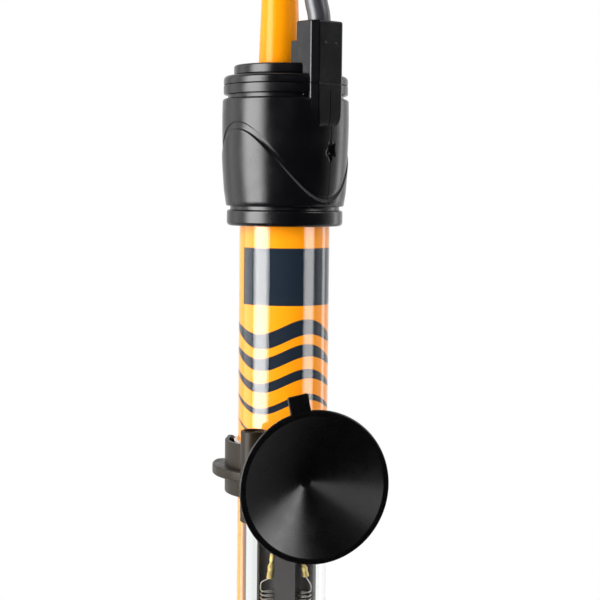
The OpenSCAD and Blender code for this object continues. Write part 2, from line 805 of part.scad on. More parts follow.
module bottom_cap() {
    cap_r = tube_r + set_gap + cap_wall;
    top = cap_low + cap_h;
    color([0.13, 0.13, 0.14])
    at_axis() difference() {
        rotate_extrude() polygon(concat([[0, cap_low]],
            arc(cap_r - 5, cap_low + 5, 5, -90, 0, 6),
            [[cap_r, top - 5], [cap_r - 0.6, top - 4.6], [cap_r - 0.6, top - 4], [cap_r, top - 3.6],
                [cap_r, top - 0.8], [cap_r - 0.8, top], [0, top]]));
        rotate_extrude() polygon(closed_end(tube_r + set_gap, tube_corner, tube_low - set_gap,
            top + 1));
    }
}

// ---- clips and cups ----

module gap_cut(half) {
    polygon([[0, 0], [far * sin(half), far * cos(half)], [-far * sin(half), far * cos(half)]]);
}

module grip_liner(z) {
    color([0.75, 0.75, 0.72])
    at_axis() translate([0, 0, z + ring_lift - ring_h / 2]) linear_extrude(ring_h) difference() {
        circle(r = liner_r);
        circle(r = tube_r + run_gap);
        gap_cut(ring_gap + 2);
    }
}

module clip_ring() {
    bead_r = ring_wall * 0.75;
    inner_r = ring_r - ring_wall;
    end_r = inner_r + bead_r + 0.15;
    low = ring_lift - ring_h / 2;
    high = ring_lift + ring_h / 2;
    difference() {
        tube_part(ring_r, inner_r, low, high);
        translate([0, 0, -ring_h]) linear_extrude(2 * ring_h) gap_cut(ring_gap);
    }
    for (s = [-1, 1]) translate([s * end_r * sin(ring_gap), end_r * cos(ring_gap), 0])
        disc(bead_r, low, high);
    difference() {
        tube_part(flange_r, inner_r + 0.2, -flange_t / 2, flange_t / 2);
        translate([0, 0, -flange_t]) linear_extrude(2 * flange_t) gap_cut(ring_gap + 6);
    }
    for (a = [-122, -58, 58, 122]) rotate([0, 0, a])
        block_at(-1.2, 1.2, -inner_r - 0.4, -liner_r - run_gap, low, high);
}

module clip(z) {
    post_at = ring_r + post_r - ring_wall + 0.1;
    post_x = post_at * sin(post_angle);
    post_y = axis_y - post_at * cos(post_angle);
    plate_x = post_x + 1.5;
    color([0.2, 0.19, 0.18])
    translate([0, 0, z]) difference() {
        union() {
            at_axis() clip_ring();
            for (s = [-1, 1]) translate([s * post_x, post_y, post_lift])
                disc(post_r, -post_h / 2, post_h / 2);
            block_at(-plate_x, plate_x, plate_y, plate_y + plate_t, -plate_h / 2, plate_h / 2);
            for (s = [-1, 1])
                block_at(s * post_x - 1.5, s * post_x + 1.5, plate_y + plate_t - 1, post_y,
                    -plate_h / 2, plate_h / 2);
        }
        for (s = [-1, 1]) translate([s * post_x, post_y, 0])
            disc(post_r - post_wall, -post_h, post_h);
        translate([0, plate_y - 1, 0]) rotate([-90, 0, 0])
            cylinder(r = neck_r + run_gap + 0.03, h = plate_t + 2);
        translate([0, plate_y + plate_t, 0]) rotate([-90, 0, 0])
            cylinder(r = button_r + air_gap, h = axis_y - ring_r + 0.15 - plate_y - plate_t);
        block_at(-neck_r + 0.6, neck_r - 0.6, plate_y - 1, plate_y + plate_t + 1, 0, plate_h);
    }
}

module suction_cup(z) {
    back = cup_deep + cup_apex;
    lip_r = cup_r - lip_w;
    color([0.07, 0.07, 0.075])
    translate([0, 0, z]) {
        rotate([-90, 0, 0]) rotate_extrude() polygon([[0, cup_deep], [1, cup_deep - 0.05],
            [2, cup_deep - 0.45], [lip_r, 0], [cup_r, 0], [cup_r, 0.7], [cup_r - 1, 1.4],
            [cup_r * 0.6, cup_deep * 0.6], [cup_r * 0.4, cup_deep * 0.93], [neck_r + 2.6, back - 0.4],
            [neck_r + 2.2, back], [neck_r, back], [neck_r, button_y], [button_r - 0.4, button_y],
            [button_r, button_y + 0.4], [button_r, button_y + button_t - 0.4],
            [button_r - 0.4, button_y + button_t], [0, button_y + button_t]]);
        rotate([0, -tab_turn, 0])
            block_at(-tab_w / 2, tab_w / 2, 0.1, 1.3, cup_r - 0.7, cup_r + tab_l);
    }
}

module upper_liner() { grip_liner(0); }
module upper_clip() { clip(0); }
module upper_cup() { suction_cup(0); }
module lower_liner() { grip_liner(lower_z); }
module lower_clip() { clip(lower_z); }
module lower_cup() { suction_cup(lower_z); }

// ---- mains lead ----

module at_lead() {
    at_axis(lead_turn) children();
}

module power_lead() {
    color([0.16, 0.16, 0.17]) at_lead() tube_along(LEAD, lead_r, 12);
}

module lead_tail() {
    color([0.16, 0.16, 0.17]) at_lead() tube_along(TAIL, lead_r, 12);
}

// Half width of the hank at half turn h: it winds in through layer A and out again through layer B
function hank_half(h) = hank_w - hank_step / 2 * (h <= 3 ? h : 6 - h);

// How far a run is drawn in towards the waist, s from -1 at one end to 1 at the other
function drawn_in(s) = waist_in * (0.5 + 0.5 * cos(180 * s));

// Point of a run: even runs go down the front, odd runs go up the back
function run_point(h, s) = let (front = h % 2 == 0, z = hank_top - hank_run / 2 * (1 + s),
        across = h < 3 ? 0 : h > 3 ? 1 : 0.5 - s / 2)
    [(across - 0.5) * hank_layer, hank_u + (front ? -1 : 1) * (hank_half(h) - drawn_in(s)), z];

// Point of the fold after run h, from angle 0 to 180
function fold_point(h, a) = let (front = h % 2 == 0, r0 = hank_half(h), r1 = hank_half(h + 1),
        r = (r0 + r1) / 2, side = front ? 1 : -1, mid = side * (r1 - r0) / 2,
        across = h < 3 ? 0 : 1)
    [(across - 0.5) * hank_layer, hank_u + mid - side * r * cos(a),
        (front ? hank_top - hank_run : hank_top) - side * r * sin(a)];

// The hank as one path; m points to a fold and k to a run
// Steps along a run: even ones, with a straight stretch under the tie
function run_steps(k) = let (t = (tie_w + 0.8) / hank_run, even = [for (i = [1:k - 1]) 2 * i / k - 1])
    concat([for (s = even) if (s < -t - 0.02) s], [-t, t], [for (s = even) if (s > t + 0.02) s]);

function hank_path(m, k) = concat([run_point(0, -1) + [0, 0, lead_d], run_point(0, -1)],
    [for (h = [0:6]) each concat(
        [for (s = run_steps(k)) run_point(h, (h % 2 == 0 ? 1 : -1) * s)],
        h == 6 ? [run_point(6, 1)] : [for (i = [0:m]) fold_point(h, 180 * i / m)])],
    [run_point(6, 1) - [0, 0, lead_d]]);

module lead_hank() {
    color([0.16, 0.16, 0.17]) at_lead() tube_along(hank_path(6, 6), lead_r, 6);
}

module rounded_loop(x, y, r) {
    hull() for (i = [-1, 1]) for (j = [-1, 1]) translate([i * (x - r), j * (y - r)])
        circle(r = r, $fn = 32);
}

module hank_tie() {
    low_u = hank_u - hank_half(0) + waist_in - lead_r - 0.5;
    high_u = hank_u + hank_half(1) - waist_in + lead_r + 0.5;
    half_n = hank_layer / 2 + lead_r + 0.5;
    z0 = hank_top - hank_run / 2 - tie_w / 2;
    color([0.2, 0.2, 0.22])
    at_lead() translate([0, (low_u + high_u) / 2, z0]) linear_extrude(tie_w) difference() {
        rounded_loop(half_n + tie_t, (high_u - low_u) / 2 + tie_t, 3.5);
        rounded_loop(half_n, (high_u - low_u) / 2, 3);
    }
}

module plug_outline(w, t, r) {
    hull() for (s = [-1, 1]) translate([s * (w / 2 - r), 0]) scale([1, t / 2 / r]) circle(r = r, $fn = 32);
}

module plug_body() {
    face_z = plug_z - boot_h - plug_h;
    color([0.1, 0.1, 0.1])
    at_lead() translate([tail_n, tail_u, 0]) difference() {
        union() {
            hull() {
                translate([0, 0, face_z]) linear_extrude(14) plug_outline(plug_w, plug_t, 5);
                translate([0, 0, plug_z - boot_h - 1]) linear_extrude(1) plug_outline(15, 10.5, 5);
            }
            translate([0, 0, plug_z - boot_h - eps])
                cylinder(r1 = 5, r2 = lead_r + 0.7, h = boot_h + eps);
        }
        for (s = [-1, 1]) translate([s * pin_gap / 2, 0, face_z - 1])
            cylinder(r = pin_d / 2 + 0.42, h = 11);
    }
}

module plug_pins() {
    face_z = plug_z - boot_h - plug_h;
    color([0.8, 0.8, 0.78])
    at_lead() translate([tail_n, tail_u, 0])
        for (s = [-1, 1]) translate([s * pin_gap / 2, 0, face_z - pin_h]) {
            cylinder(r = pin_d / 2, h = pin_h + 1);
            translate([0, 0, pin_h]) cylinder(r = pin_d / 2 + 0.4, h = 9.9);
        }
}

echo(hank_gap = least_gap(hank_path(24, 24), 30, 400, lead_d));
echo(coil_gap = least_gap(coil_path(), 5, 12, coil_wire));

glass_tube();
colour_film();
head_sleeve();
head_cap();
dial_plate();
tube_stopper();
tube_seals();
shaft_seal();
live_wire();
neutral_wire();
thermostat_frame();
fixed_contact();
snap_magnet();
indicator_lamp();
lamp_resistor();
suppressor_capacitor();
strip_clamp();
heat_shields();
element_core();
left_coil();
right_coil();
coil_link();
feed_wires();
crimp_ferrules();
core_pad();
bottom_cap();
power_lead();
lead_hank();
lead_tail();
hank_tie();
plug_body();
plug_pins();
knob();
adjuster_shaft();
shaft_clip();
adjuster_nut();
bimetal_strip();
moving_contact();
upper_liner();
upper_clip();
upper_cup();
lower_liner();
lower_clip();
lower_cup();
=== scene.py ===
import math

import bmesh
import bpy
from mathutils import Matrix, Vector


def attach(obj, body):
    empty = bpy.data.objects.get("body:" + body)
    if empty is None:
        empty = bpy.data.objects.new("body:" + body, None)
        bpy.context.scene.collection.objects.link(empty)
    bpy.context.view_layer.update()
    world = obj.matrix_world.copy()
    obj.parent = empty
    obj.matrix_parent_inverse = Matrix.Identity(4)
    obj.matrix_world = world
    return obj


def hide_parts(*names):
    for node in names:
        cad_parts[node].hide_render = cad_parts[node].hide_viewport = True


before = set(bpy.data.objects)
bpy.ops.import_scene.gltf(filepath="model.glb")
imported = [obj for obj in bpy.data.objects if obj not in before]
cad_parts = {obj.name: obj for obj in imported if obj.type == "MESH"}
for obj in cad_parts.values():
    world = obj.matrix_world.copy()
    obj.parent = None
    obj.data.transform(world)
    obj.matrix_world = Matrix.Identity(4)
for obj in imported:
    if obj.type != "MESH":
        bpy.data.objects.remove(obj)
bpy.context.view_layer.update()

bl_info = {
    "name": "Aquarium Heater",
    "version": (1, 0, 0),
    "blender": (4, 5, 0),
    "location": "3D View > Sidebar > Heater",
    "description": "Dresses the CAD frame of a submersible glass-tube aquarium heater",
    "category": "Add Mesh",
}

MM = 0.001

# Sizes of the frame in millimetres, as the CAD model has them
AXIS_Y = 31.0
HEAD_TURN, CORE_TURN, LEAD_TURN = 25.0, -20.0, -16.5
TUBE_R, BORE_R, FILM_R = 12.5, 11.3, 11.25
TUBE_LOW, TUBE_TOP = -168.0, 99.0
FOOT_Z, BARREL_Z, BARREL_TOP = 67.8, 73.2, 102.6
RING_Z, SEAM_Z, CAP_Z, DIAL_Z, BLOCK_Z = 103.6, 106.3, 108.8, 111.7, 122.9
SOCKET_R, RING_R, BLOCK_X, BLOCK_Y = 12.6, 17.15, 5.75, 18.0
KNOB_Z, KNOB_TOP, KNOB_OFF = 112.3, 140.0, 2.8
CLIP_LOW, CLIP_HIGH, LOWER_Z = -6.5, 8.1, -128.0
LEAD_D = 6.2

# The way that the camera looks, in degrees about the tube, and the unit of the film's UV map
VIEW_TURN, UV_UNIT = -16.5, 100.0


# ---- Sizes and colours that can be changed ----

def linear(code):
    """The linear colour of an sRGB hex code"""
    parts = [int(code[i:i + 2], 16) / 255 for i in (1, 3, 5)]
    return [c / 12.92 if c <= 0.04045 else ((c + 0.055) / 1.055) ** 2.4 for c in parts] + [1.0]


def length(name, description, millimetres):
    return bpy.props.FloatProperty(name=name, description=description, default=millimetres * MM,
                                   min=0.0, unit="LENGTH", subtype="DISTANCE", precision=5)


def colour(name, description, code):
    return bpy.props.FloatVectorProperty(name=name, description=description, size=4, min=0, max=1,
                                         default=linear(code), subtype="COLOR")


class HeaterSizes(bpy.types.PropertyGroup):
    wave_rise: length("Wave rise", "Rise and fall of the wave round the head", 9.6)
    wave_height: length("Wave height", "Middle height of the wave round the head", 84.3)
    wave_band: length("Wave band", "Height of the sloping band above the wave", 2.1)
    wave_step: length("Wave step", "Half of the step in the surface at the wave", 0.26)
    edge_round: length("Edge rounding", "Rounding of the edges of the clips and the core", 0.3)
    coil_pitch: length("Coil pitch", "Distance between the turns of a heating coil", 1.15)
    coil_wire: length("Coil wire", "Radius of the heating wire", 0.19)
    relief_rib: length("Relief rib", "Radius of the ribs on the plug's strain relief", 0.5)
    wave_pitch: length("Printed wave pitch", "Distance between the printed waves", 6.4)
    relief_ribs: bpy.props.IntProperty(name="Relief ribs", default=6, min=2, max=12,
                                       description="Number of ribs on the plug's strain relief")


class HeaterColours(bpy.types.PropertyGroup):
    film: colour("Film", "Orange of the printed film inside the glass", "#f79b08")
    print: colour("Print", "Navy of the film's print", "#16222f")
    knob: colour("Knob", "Orange of the knob", "#ff9806")
    head: colour("Head", "Black of the head", "#070709")
    clip: colour("Clip", "Grey of the clips", "#1f1911")
    cup: colour("Cup", "Black of the suction cups", "#040405")
    lead: colour("Lead", "Black of the mains lead", "#2b2b30")


# ---- Nodes and materials ----

def add(tree, kind, feeds=None, **settings):
    """Adds a node: settings are its properties, feeds are links or values for its inputs"""
    node = tree.nodes.new(kind)
    for key, value in settings.items():
        setattr(node, key, value)
    for socket, source in (feeds or {}).items():
        if isinstance(source, bpy.types.NodeSocket):
            tree.links.new(source, node.inputs[socket])
        else:
            node.inputs[socket].default_value = source
    return node


def blank(name):
    """A material with an empty tree"""
    mat = bpy.data.materials.new(name)
    mat.use_nodes = True
    mat.node_tree.nodes.clear()
    return mat, mat.node_tree


def shade(colour_value, factor):
    """A colour made lighter or darker"""
    return [min(1.0, c * factor) for c in colour_value[:3]] + [1.0]


def moulded(name, base, rough, grain=0.4, depth=0.01, mottle=0.12, spread=0.06, stretch=(1, 1, 1),
            cloud=6.0, **surface):
    """A moulded or worked surface: grain is the texture's size and depth its relief, in mm; cloud
    is the size of the slow change in colour and gloss"""
    mat, tree = blank(name)
    place = add(tree, "ShaderNodeTexCoord").outputs["Object"]
    place = add(tree, "ShaderNodeMapping", {"Vector": place, "Scale": stretch}).outputs[0]
    slow = add(tree, "ShaderNodeTexNoise", {"Vector": place, "Scale": 1 / (cloud * MM),
                                            "Detail": 3.0}).outputs["Fac"]
    fine = add(tree, "ShaderNodeTexNoise", {"Vector": place, "Scale": 1 / (grain * MM),
                                            "Detail": 2.0, "Roughness": 0.6}).outputs["Fac"]
    both = add(tree, "ShaderNodeMath", {0: slow, 1: fine}, operation="ADD").outputs[0]
    tint = add(tree, "ShaderNodeMix", {"Factor": both, 6: shade(base, 1 - mottle),
                                       7: shade(base, 1 + mottle)},
               data_type="RGBA", clamp_factor=True).outputs[2]
    gloss = add(tree, "ShaderNodeMapRange", {"Value": slow, "From Min": 0.3, "From Max": 0.7,
                                             "To Min": max(0.02, rough - spread),
                                             "To Max": rough + spread}).outputs[0]
    bump = add(tree, "ShaderNodeBump", {"Height": fine, "Distance": depth * MM, "Strength": 1.0})
    body = add(tree, "ShaderNodeBsdfPrincipled", {"Base Color": tint, "Roughness": gloss,
                                                  "Normal": bump.outputs[0]})
    for socket, value in surface.items():
        body.inputs[socket.replace("_", " ")].default_value = value
    add(tree, "ShaderNodeOutputMaterial", {"Surface": body.outputs[0]})
    return mat


def drawn_glass(name, tint, rough=0.0, ripple=0.004):
    """Drawn glass: clear and bright at the edges, with very slow ripples along the tube"""
    mat, tree = blank(name)
    place = add(tree, "ShaderNodeTexCoord").outputs["Object"]
    place = add(tree, "ShaderNodeMapping", {"Vector": place, "Scale": (1, 1, 0.12)}).outputs[0]
    slow = add(tree, "ShaderNodeTexNoise", {"Vector": place, "Scale": 1 / (9 * MM)}).outputs["Fac"]
    bump = add(tree, "ShaderNodeBump", {"Height": slow, "Distance": ripple * MM, "Strength": 1.0})
    body = add(tree, "ShaderNodeBsdfPrincipled", {
        "Base Color": linear(tint), "Roughness": rough, "IOR": 1.47, "Transmission Weight": 1.0,
        "Normal": bump.outputs[0]})
    clear = add(tree, "ShaderNodeBsdfTransparent")
    shadow = add(tree, "ShaderNodeLightPath").outputs["Is Shadow Ray"]
    mix = add(tree, "ShaderNodeMixShader", {0: shadow, 1: body.outputs[0], 2: clear.outputs[0]})
    add(tree, "ShaderNodeOutputMaterial", {"Surface": mix.outputs[0]})
    return mat


def printed_film():
    """Polyester film printed on its back: even orange, with a bare navy field and navy waves that
    thin out downwards. The film's UV map holds the way round and the height in UV_UNIT"""
    sizes, colours = bpy.context.scene.heater_sizes, bpy.context.scene.heater_colours
    mat, tree = blank("printed polyester film")
    uv = add(tree, "ShaderNodeUVMap", uv_map="wrap").outputs[0]
    split = add(tree, "ShaderNodeSeparateXYZ", {0: uv})

    # In mm: middle and half size of the field, then top, swing and half width of the waves. Their
    # number, the ink's share of the first one's pitch, and how much less each next one has
    field_x, field_half_x, field_z, field_half_z = 3.5, 16.5, 54.075, 7.825
    waves_top, swing, half_width, radians_per_mm = 41.6, 2.1, 19.0, 0.235
    number, first_share, less = 5, 0.7, 0.13
    values = {"x": split.outputs["X"], "y": split.outputs["Y"]}
    for name, operation, *feeds in (
            ("across", "MULTIPLY", "x", UV_UNIT),
            ("up", "MULTIPLY", "y", UV_UNIT),
            ("in field's width", "COMPARE", "across", field_x, field_half_x),
            ("in field's height", "COMPARE", "up", field_z, field_half_z),
            ("field", "MULTIPLY", "in field's width", "in field's height"),
            ("phase", "MULTIPLY", "across", radians_per_mm),
            ("sine", "SINE", "phase"),
            ("crest", "MULTIPLY_ADD", "sine", swing, waves_top),
            ("below crest", "SUBTRACT", "crest", "up"),
            ("steps", "DIVIDE", "below crest", sizes.wave_pitch / MM),
            ("count", "FLOOR", "steps"),
            ("part", "FRACT", "steps"),
            ("share", "MULTIPLY_ADD", "count", -less, first_share),
            ("way out", "DIVIDE", "across", half_width),
            ("way out squared", "MULTIPLY", "way out", "way out"),
            ("rest", "SUBTRACT", 1.0, "way out squared"),
            ("rest in reach", "MAXIMUM", "rest", 0.0),
            ("taper", "SQRT", "rest in reach"),
            ("ink width", "MULTIPLY", "share", "taper"),
            ("ink half width", "MULTIPLY", "ink width", 0.5),
            ("from middle", "SUBTRACT", "part", 0.5),
            ("off middle", "ABSOLUTE", "from middle"),
            ("in a wave", "LESS_THAN", "off middle", "ink half width"),
            ("among the waves", "COMPARE", "steps", number / 2, number / 2),
            ("waves", "MULTIPLY", "in a wave", "among the waves"),
            ("ink", "MAXIMUM", "field", "waves")):
        values[name] = add(tree, "ShaderNodeMath", {i: values.get(feed, feed)
                                                    for i, feed in enumerate(feeds)},
                           operation=operation).outputs[0]
    place = add(tree, "ShaderNodeTexCoord").outputs["Object"]
    slow = add(tree, "ShaderNodeTexNoise", {"Vector": place, "Scale": 1 / (14 * MM)}).outputs["Fac"]
    base = add(tree, "ShaderNodeMix", {"Factor": slow, 6: shade(colours.film, 0.94),
                                       7: shade(colours.film, 1.05)}, data_type="RGBA").outputs[2]
    tint = add(tree, "ShaderNodeMix", {"Factor": values["ink"], 6: base, 7: tuple(colours.print)},
               data_type="RGBA").outputs[2]
    gloss = add(tree, "ShaderNodeMapRange", {"Value": values["ink"], "To Min": 0.42,
                                             "To Max": 0.5}).outputs[0]
    body = add(tree, "ShaderNodeBsdfPrincipled", {"Base Color": tint, "Roughness": gloss,
                                                  "IOR": 1.55, "Specular IOR Level": 0.08})
    add(tree, "ShaderNodeOutputMaterial", {"Surface": body.outputs[0]})
    return mat


FINISHES = {}


def make_finishes():
    """Every material of the heater, named for its finish"""
    c = bpy.context.scene.heater_colours
    f = FINISHES
    # Drawn borosilicate: clear and thin, with bright edges and slow ripples
    f["glass"] = drawn_glass("drawn borosilicate glass", "#fbfdfc")
    # The lamp's bulb: a warm tint, a little uneven
    f["lamp"] = drawn_glass("neon lamp glass", "#ffd9b0", rough=0.02, ripple=0.02)
    f["film"] = printed_film()
    # Spark-eroded polycarbonate: satin black with broad soft highlights. Its grain is drawn
    # coarser than it is, so that it shows
    f["head"] = moulded("satin polycarbonate", c.head, 0.23, grain=0.28, depth=0.02, cloud=8,
                        IOR=1.35)
    # The cap comes from a second mould, a little smoother
    f["cap"] = moulded("satin polycarbonate, cap", shade(c.head, 1.15), 0.21, grain=0.3,
                       depth=0.02, cloud=7, IOR=1.35)
    # Polished ABS: an even saturated orange under a hard gloss
    f["knob"] = moulded("glossy ABS", c.knob, 0.19, grain=2.0, depth=0.004, mottle=0.04,
                        spread=0.02, cloud=12, IOR=1.23)
    # Glass-filled nylon: matt dark grey, a little brown, with fine fibres on the surface
    f["clip"] = moulded("glass-filled nylon", c.clip, 0.38, grain=0.35, depth=0.03, mottle=0.35,
                        spread=0.08, stretch=(1, 1, 0.3), cloud=3, IOR=1.25)
    # Pressed PVC rubber: nearly black, smooth, with a dull sheen
    f["cup"] = moulded("pressed rubber", c.cup, 0.27, grain=0.5, depth=0.006, cloud=5, spread=0.04,
                       IOR=1.3)
    # Translucent silicone strip: pale and cloudy, it lets some light through
    f["liner"] = moulded("cloudy silicone", linear("#c9c9c4"), 0.4, grain=0.8, depth=0.01,
                         mottle=0.06, Subsurface_Weight=0.3, Subsurface_Radius=(0.002,) * 3,
                         IOR=1.41)
    # Extruded PVC sheath: dark grey with a dull shine along its length
    f["lead"] = moulded("extruded PVC", c.lead, 0.38, grain=0.5, depth=0.012, cloud=20,
                        stretch=(1, 1, 0.4), IOR=1.53)
    # The plug is moulded of the same PVC: duller, with an even grain. The strap is darker still
    f["plug"] = moulded("moulded PVC", c.lead, 0.42, grain=0.35, depth=0.015, cloud=6, IOR=1.53)
    f["tie"] = moulded("soft PVC strap", shade(c.lead, 0.8), 0.5, grain=0.6, depth=0.02, IOR=1.53)
    # Nickel plate: bright, with fine turning marks round the pins
    f["pin"] = moulded("nickel-plated brass", linear("#cfc8ba"), 0.2, grain=0.12, depth=0.003,
                       mottle=0.05, stretch=(0.15, 0.15, 1), Metallic=1.0)
    # Pressed brass: pale yellow, half dull
    f["brass"] = moulded("pressed brass", linear("#f7dc94"), 0.38, grain=0.4, depth=0.01,
                         mottle=0.1, Metallic=1.0)
    # Turned steel: grey, with fine rings round the shaft
    f["steel"] = moulded("turned steel", linear("#b4b5b8"), 0.28, grain=0.15, depth=0.004,
                         mottle=0.06, stretch=(0.2, 0.2, 1), Metallic=1.0)
    # Rolled strip: straw-coloured, with a grain along it
    f["bimetal"] = moulded("rolled bimetal", linear("#b39b6c"), 0.33, grain=0.2, depth=0.004,
                           stretch=(1, 1, 0.1), Metallic=1.0)
    # Contact rivet: white and smooth
    f["silver"] = moulded("contact silver", linear("#dddbd5"), 0.22, grain=0.3, depth=0.006,
                          Metallic=1.0)
    # Bare nickel-chrome wire is bright and slightly grey, tinned copper a little whiter
    f["wire"] = moulded("nickel-chrome wire", linear("#cfccc4"), 0.3, grain=0.3, depth=0.005,
                        Metallic=1.0)
    f["tinned"] = moulded("tinned copper", linear("#d8d6cf"), 0.28, grain=0.3, depth=0.005,
                          Metallic=1.0)
    # Fired cordierite core: chalky dark grey with grit in the surface
    f["ceramic"] = moulded("fired cordierite", linear("#2f2c2c"), 0.68, grain=0.22, depth=0.03,
                           mottle=0.25, stretch=(1, 1, 0.35), cloud=4)
    # Pressed mica: pale tan, in flakes
    f["mica"] = moulded("pressed mica", linear("#c9bfa2"), 0.35, grain=0.5, depth=0.01,
                        mottle=0.2)
    # Small parts inside, in plain colours: the rubbers, the ferrite and the board are dull, and
    # the lacquer and the resin shine. Last come the size and the relief of their grain, in mm
    for key, name, code, rough, grain, depth in (
            ("magnet", "sintered ferrite", "#2b2b2e", 0.62, 0.15, 0.02),
            ("pad", "silicone pad", "#cfcfca", 0.5, 0.7, 0.015),
            ("frame", "phenolic board", "#d6cfb8", 0.45, 0.4, 0.01),
            ("stopper", "silicone stopper", "#8a3a26", 0.5, 0.6, 0.01),
            ("seal", "nitrile rubber", "#161617", 0.45, 0.5, 0.008),
            ("resistor", "resistor lacquer", "#c9a878", 0.3, 0.8, 0.006),
            ("capacitor", "capacitor resin", "#b98f24", 0.32, 0.8, 0.006),
            ("brown", "brown PVC", "#6b3a20", 0.4, 0.5, 0.008),
            ("blue", "blue PVC", "#2a57a0", 0.4, 0.5, 0.008)):
        f[key] = moulded(name, linear(code), rough, grain=grain, depth=depth)


# ---- Shapes, in millimetres ----

def at_axis(turn=0.0):
    """The place of what stands on the tube's axis, turned about it by so many degrees"""
    return Matrix.Translation((0, AXIS_Y, 0)) @ Matrix.Rotation(math.radians(turn), 4, "Z")


def arc(cx, cy, r, a0, a1, n=6):
    """Points of an arc from angle a0 to a1, in degrees, n steps apart"""
    return [(cx + r * math.cos(math.radians(a0 + (a1 - a0) * i / n)),
             cy + r * math.sin(math.radians(a0 + (a1 - a0) * i / n))) for i in range(n + 1)]


def rounded_outline(x, y, r, n=6):
    """A rectangle with round corners; x and y are its lowest and highest values"""
    (x0, x1), (y0, y1) = x, y
    return [p for cx, cy, a in ((x1 - r, y1 - r, 0), (x0 + r, y1 - r, 90),
                                (x0 + r, y0 + r, 180), (x1 - r, y0 + r, 270))
            for p in arc(cx, cy, r, a, a + 90, n)]


def around(count, extra=()):
    """Angles in degrees from -180 up, evenly spaced, with some more"""
    return sorted({round(-180 + 360 * i / count, 4) for i in range(count)} | set(extra))


def lathe(profile, angles=96, closed=False):
    """Turns a profile of (radius, height) about Z. Angle 0 points to -Y, positive towards +X.
    A row may be a function of the angle. A radius of 0 is a pole"""
    angles = around(angles) if isinstance(angles, int) else angles
    verts, rows, faces = [], [], []
    for row in profile:
        make = row if callable(row) else (lambda a, row=row: row)
        if not callable(row) and row[0] == 0:
            rows.append([len(verts)])
            verts.append((0, 0, row[1]))
            continue
        rows.append(list(range(len(verts), len(verts) + len(angles))))
        for a in angles:
            r, z = make(a)
            verts.append((r * math.sin(math.radians(a)), -r * math.cos(math.radians(a)), z))
    pairs = list(zip(rows, rows[1:])) + ([(rows[-1], rows[0])] if closed else [])
    n = len(angles)
    for low, high in pairs:
        for i in range(n):
            j = (i + 1) % n
            if len(low) == 1:
                faces.append((low[0], high[j], high[i]))
            elif len(high) == 1:
                faces.append((low[i], low[j], high[0]))
            else:
                faces.append((low[i], low[j], high[j], high[i]))
    return verts, faces


def inset(outline, depth):
    """The outline moved inwards by depth; the outline runs counterclockwise"""
    n, out = len(outline), []
    for i in range(n):
        a, b, c = (Vector(outline[(i + k) % n]).to_2d() for k in (-1, 0, 1))
        d0, d1 = (b - a).normalized(), (c - b).normalized()
        n0, n1 = Vector((-d0.y, d0.x)), Vector((-d1.y, d1.x))
        way = n0 + n1
        way = way.normalized() if way.length > 1e-6 else n0
        out.append(tuple(b + way * depth / max(0.45, way.dot(n0))))
    return out


def rim(edge, steps=3):
    """(depth, height) pairs of a rounded rim, from its outer edge up"""
    turns = [math.radians(90 * i / steps) for i in range(steps + 1)]
    return [(edge * (1 - math.sin(a)), edge * (1 - math.cos(a))) for a in turns]


def stack(sections):
    """Closed skin over sections with equal numbers of points, capped at both ends"""
    verts = [p for s in sections for p in s]
    n, faces = len(sections[0]), []
    for k in range(len(sections) - 1):
        for i in range(n):
            j = (i + 1) % n
            faces.append((k * n + i, k * n + j, (k + 1) * n + j, (k + 1) * n + i))
    faces.append(tuple(reversed(range(n))))
    last = (len(sections) - 1) * n
    faces.append(tuple(range(last, last + n)))
    return verts, faces


def slab(outline, z0, z1, edge=0.3):
    """A flat part over an outline, with rounded rims"""
    levels = [(d, z0 + h) for d, h in rim(edge)] + [(d, z1 - h) for d, h in reversed(rim(edge))]
    return stack([[(x, y, z) for x, y in inset(outline, d)] for d, z in levels])


def sweep_loop(path, section):
    """A closed band: path holds (point, outward) pairs, section holds (out, up) pairs"""
    verts, faces = [], []
    for p, out in path:
        verts += [(p[0] + out[0] * s[0], p[1] + out[1] * s[0], p[2] + s[1]) for s in section]
    n, m = len(path), len(section)
    for i in range(n):
        for k in range(m):
            i2, k2 = (i + 1) % n, (k + 1) % m
            faces.append((i * m + k, i2 * m + k, i2 * m + k2, i * m + k2))
    return verts, faces


def rounded_box(x, y, z, edge=0.3):
    """A box with rounded edges; x, y and z are its lowest and highest values"""
    (x0, x1), (y0, y1), (z0, z1) = x, y, z
    r = min(edge, (x1 - x0) / 2.2, (y1 - y0) / 2.2)
    return slab(rounded_outline(x, y, r, 3), z0, z1, min(edge, (z1 - z0) / 2.2) * 0.99)


def moved(shape, matrix):
    """The shape at another place"""
    return [tuple(matrix @ Vector(v)) for v in shape[0]], shape[1]


def joined(*shapes):
    """Several shapes as one"""
    verts, faces = [], []
    for v, f in shapes:
        faces += [tuple(i + len(verts) for i in face) for face in f]
        verts += v
    return verts, faces


def pair(shape, x):
    """The shape twice, at x to the left and to the right"""
    return joined(*(moved(shape, Matrix.Translation((side * x, 0, 0))) for side in (-1, 1)))


def smooth_route(points, steps=6):
    """A smooth curve through the points"""
    pts = [Vector(p) for p in points]
    pts = [2 * pts[0] - pts[1]] + pts + [2 * pts[-1] - pts[-2]]
    out = []
    for i in range(1, len(pts) - 2):
        a, b, c, d = pts[i - 1:i + 3]
        for k in range(steps):
            t = k / steps
            out.append(0.5 * ((2 * b) + (c - a) * t + (2 * a - 5 * b + 4 * c - d) * t * t
                              + (3 * b - a - 3 * c + d) * t ** 3))
    return out + [pts[-2]]


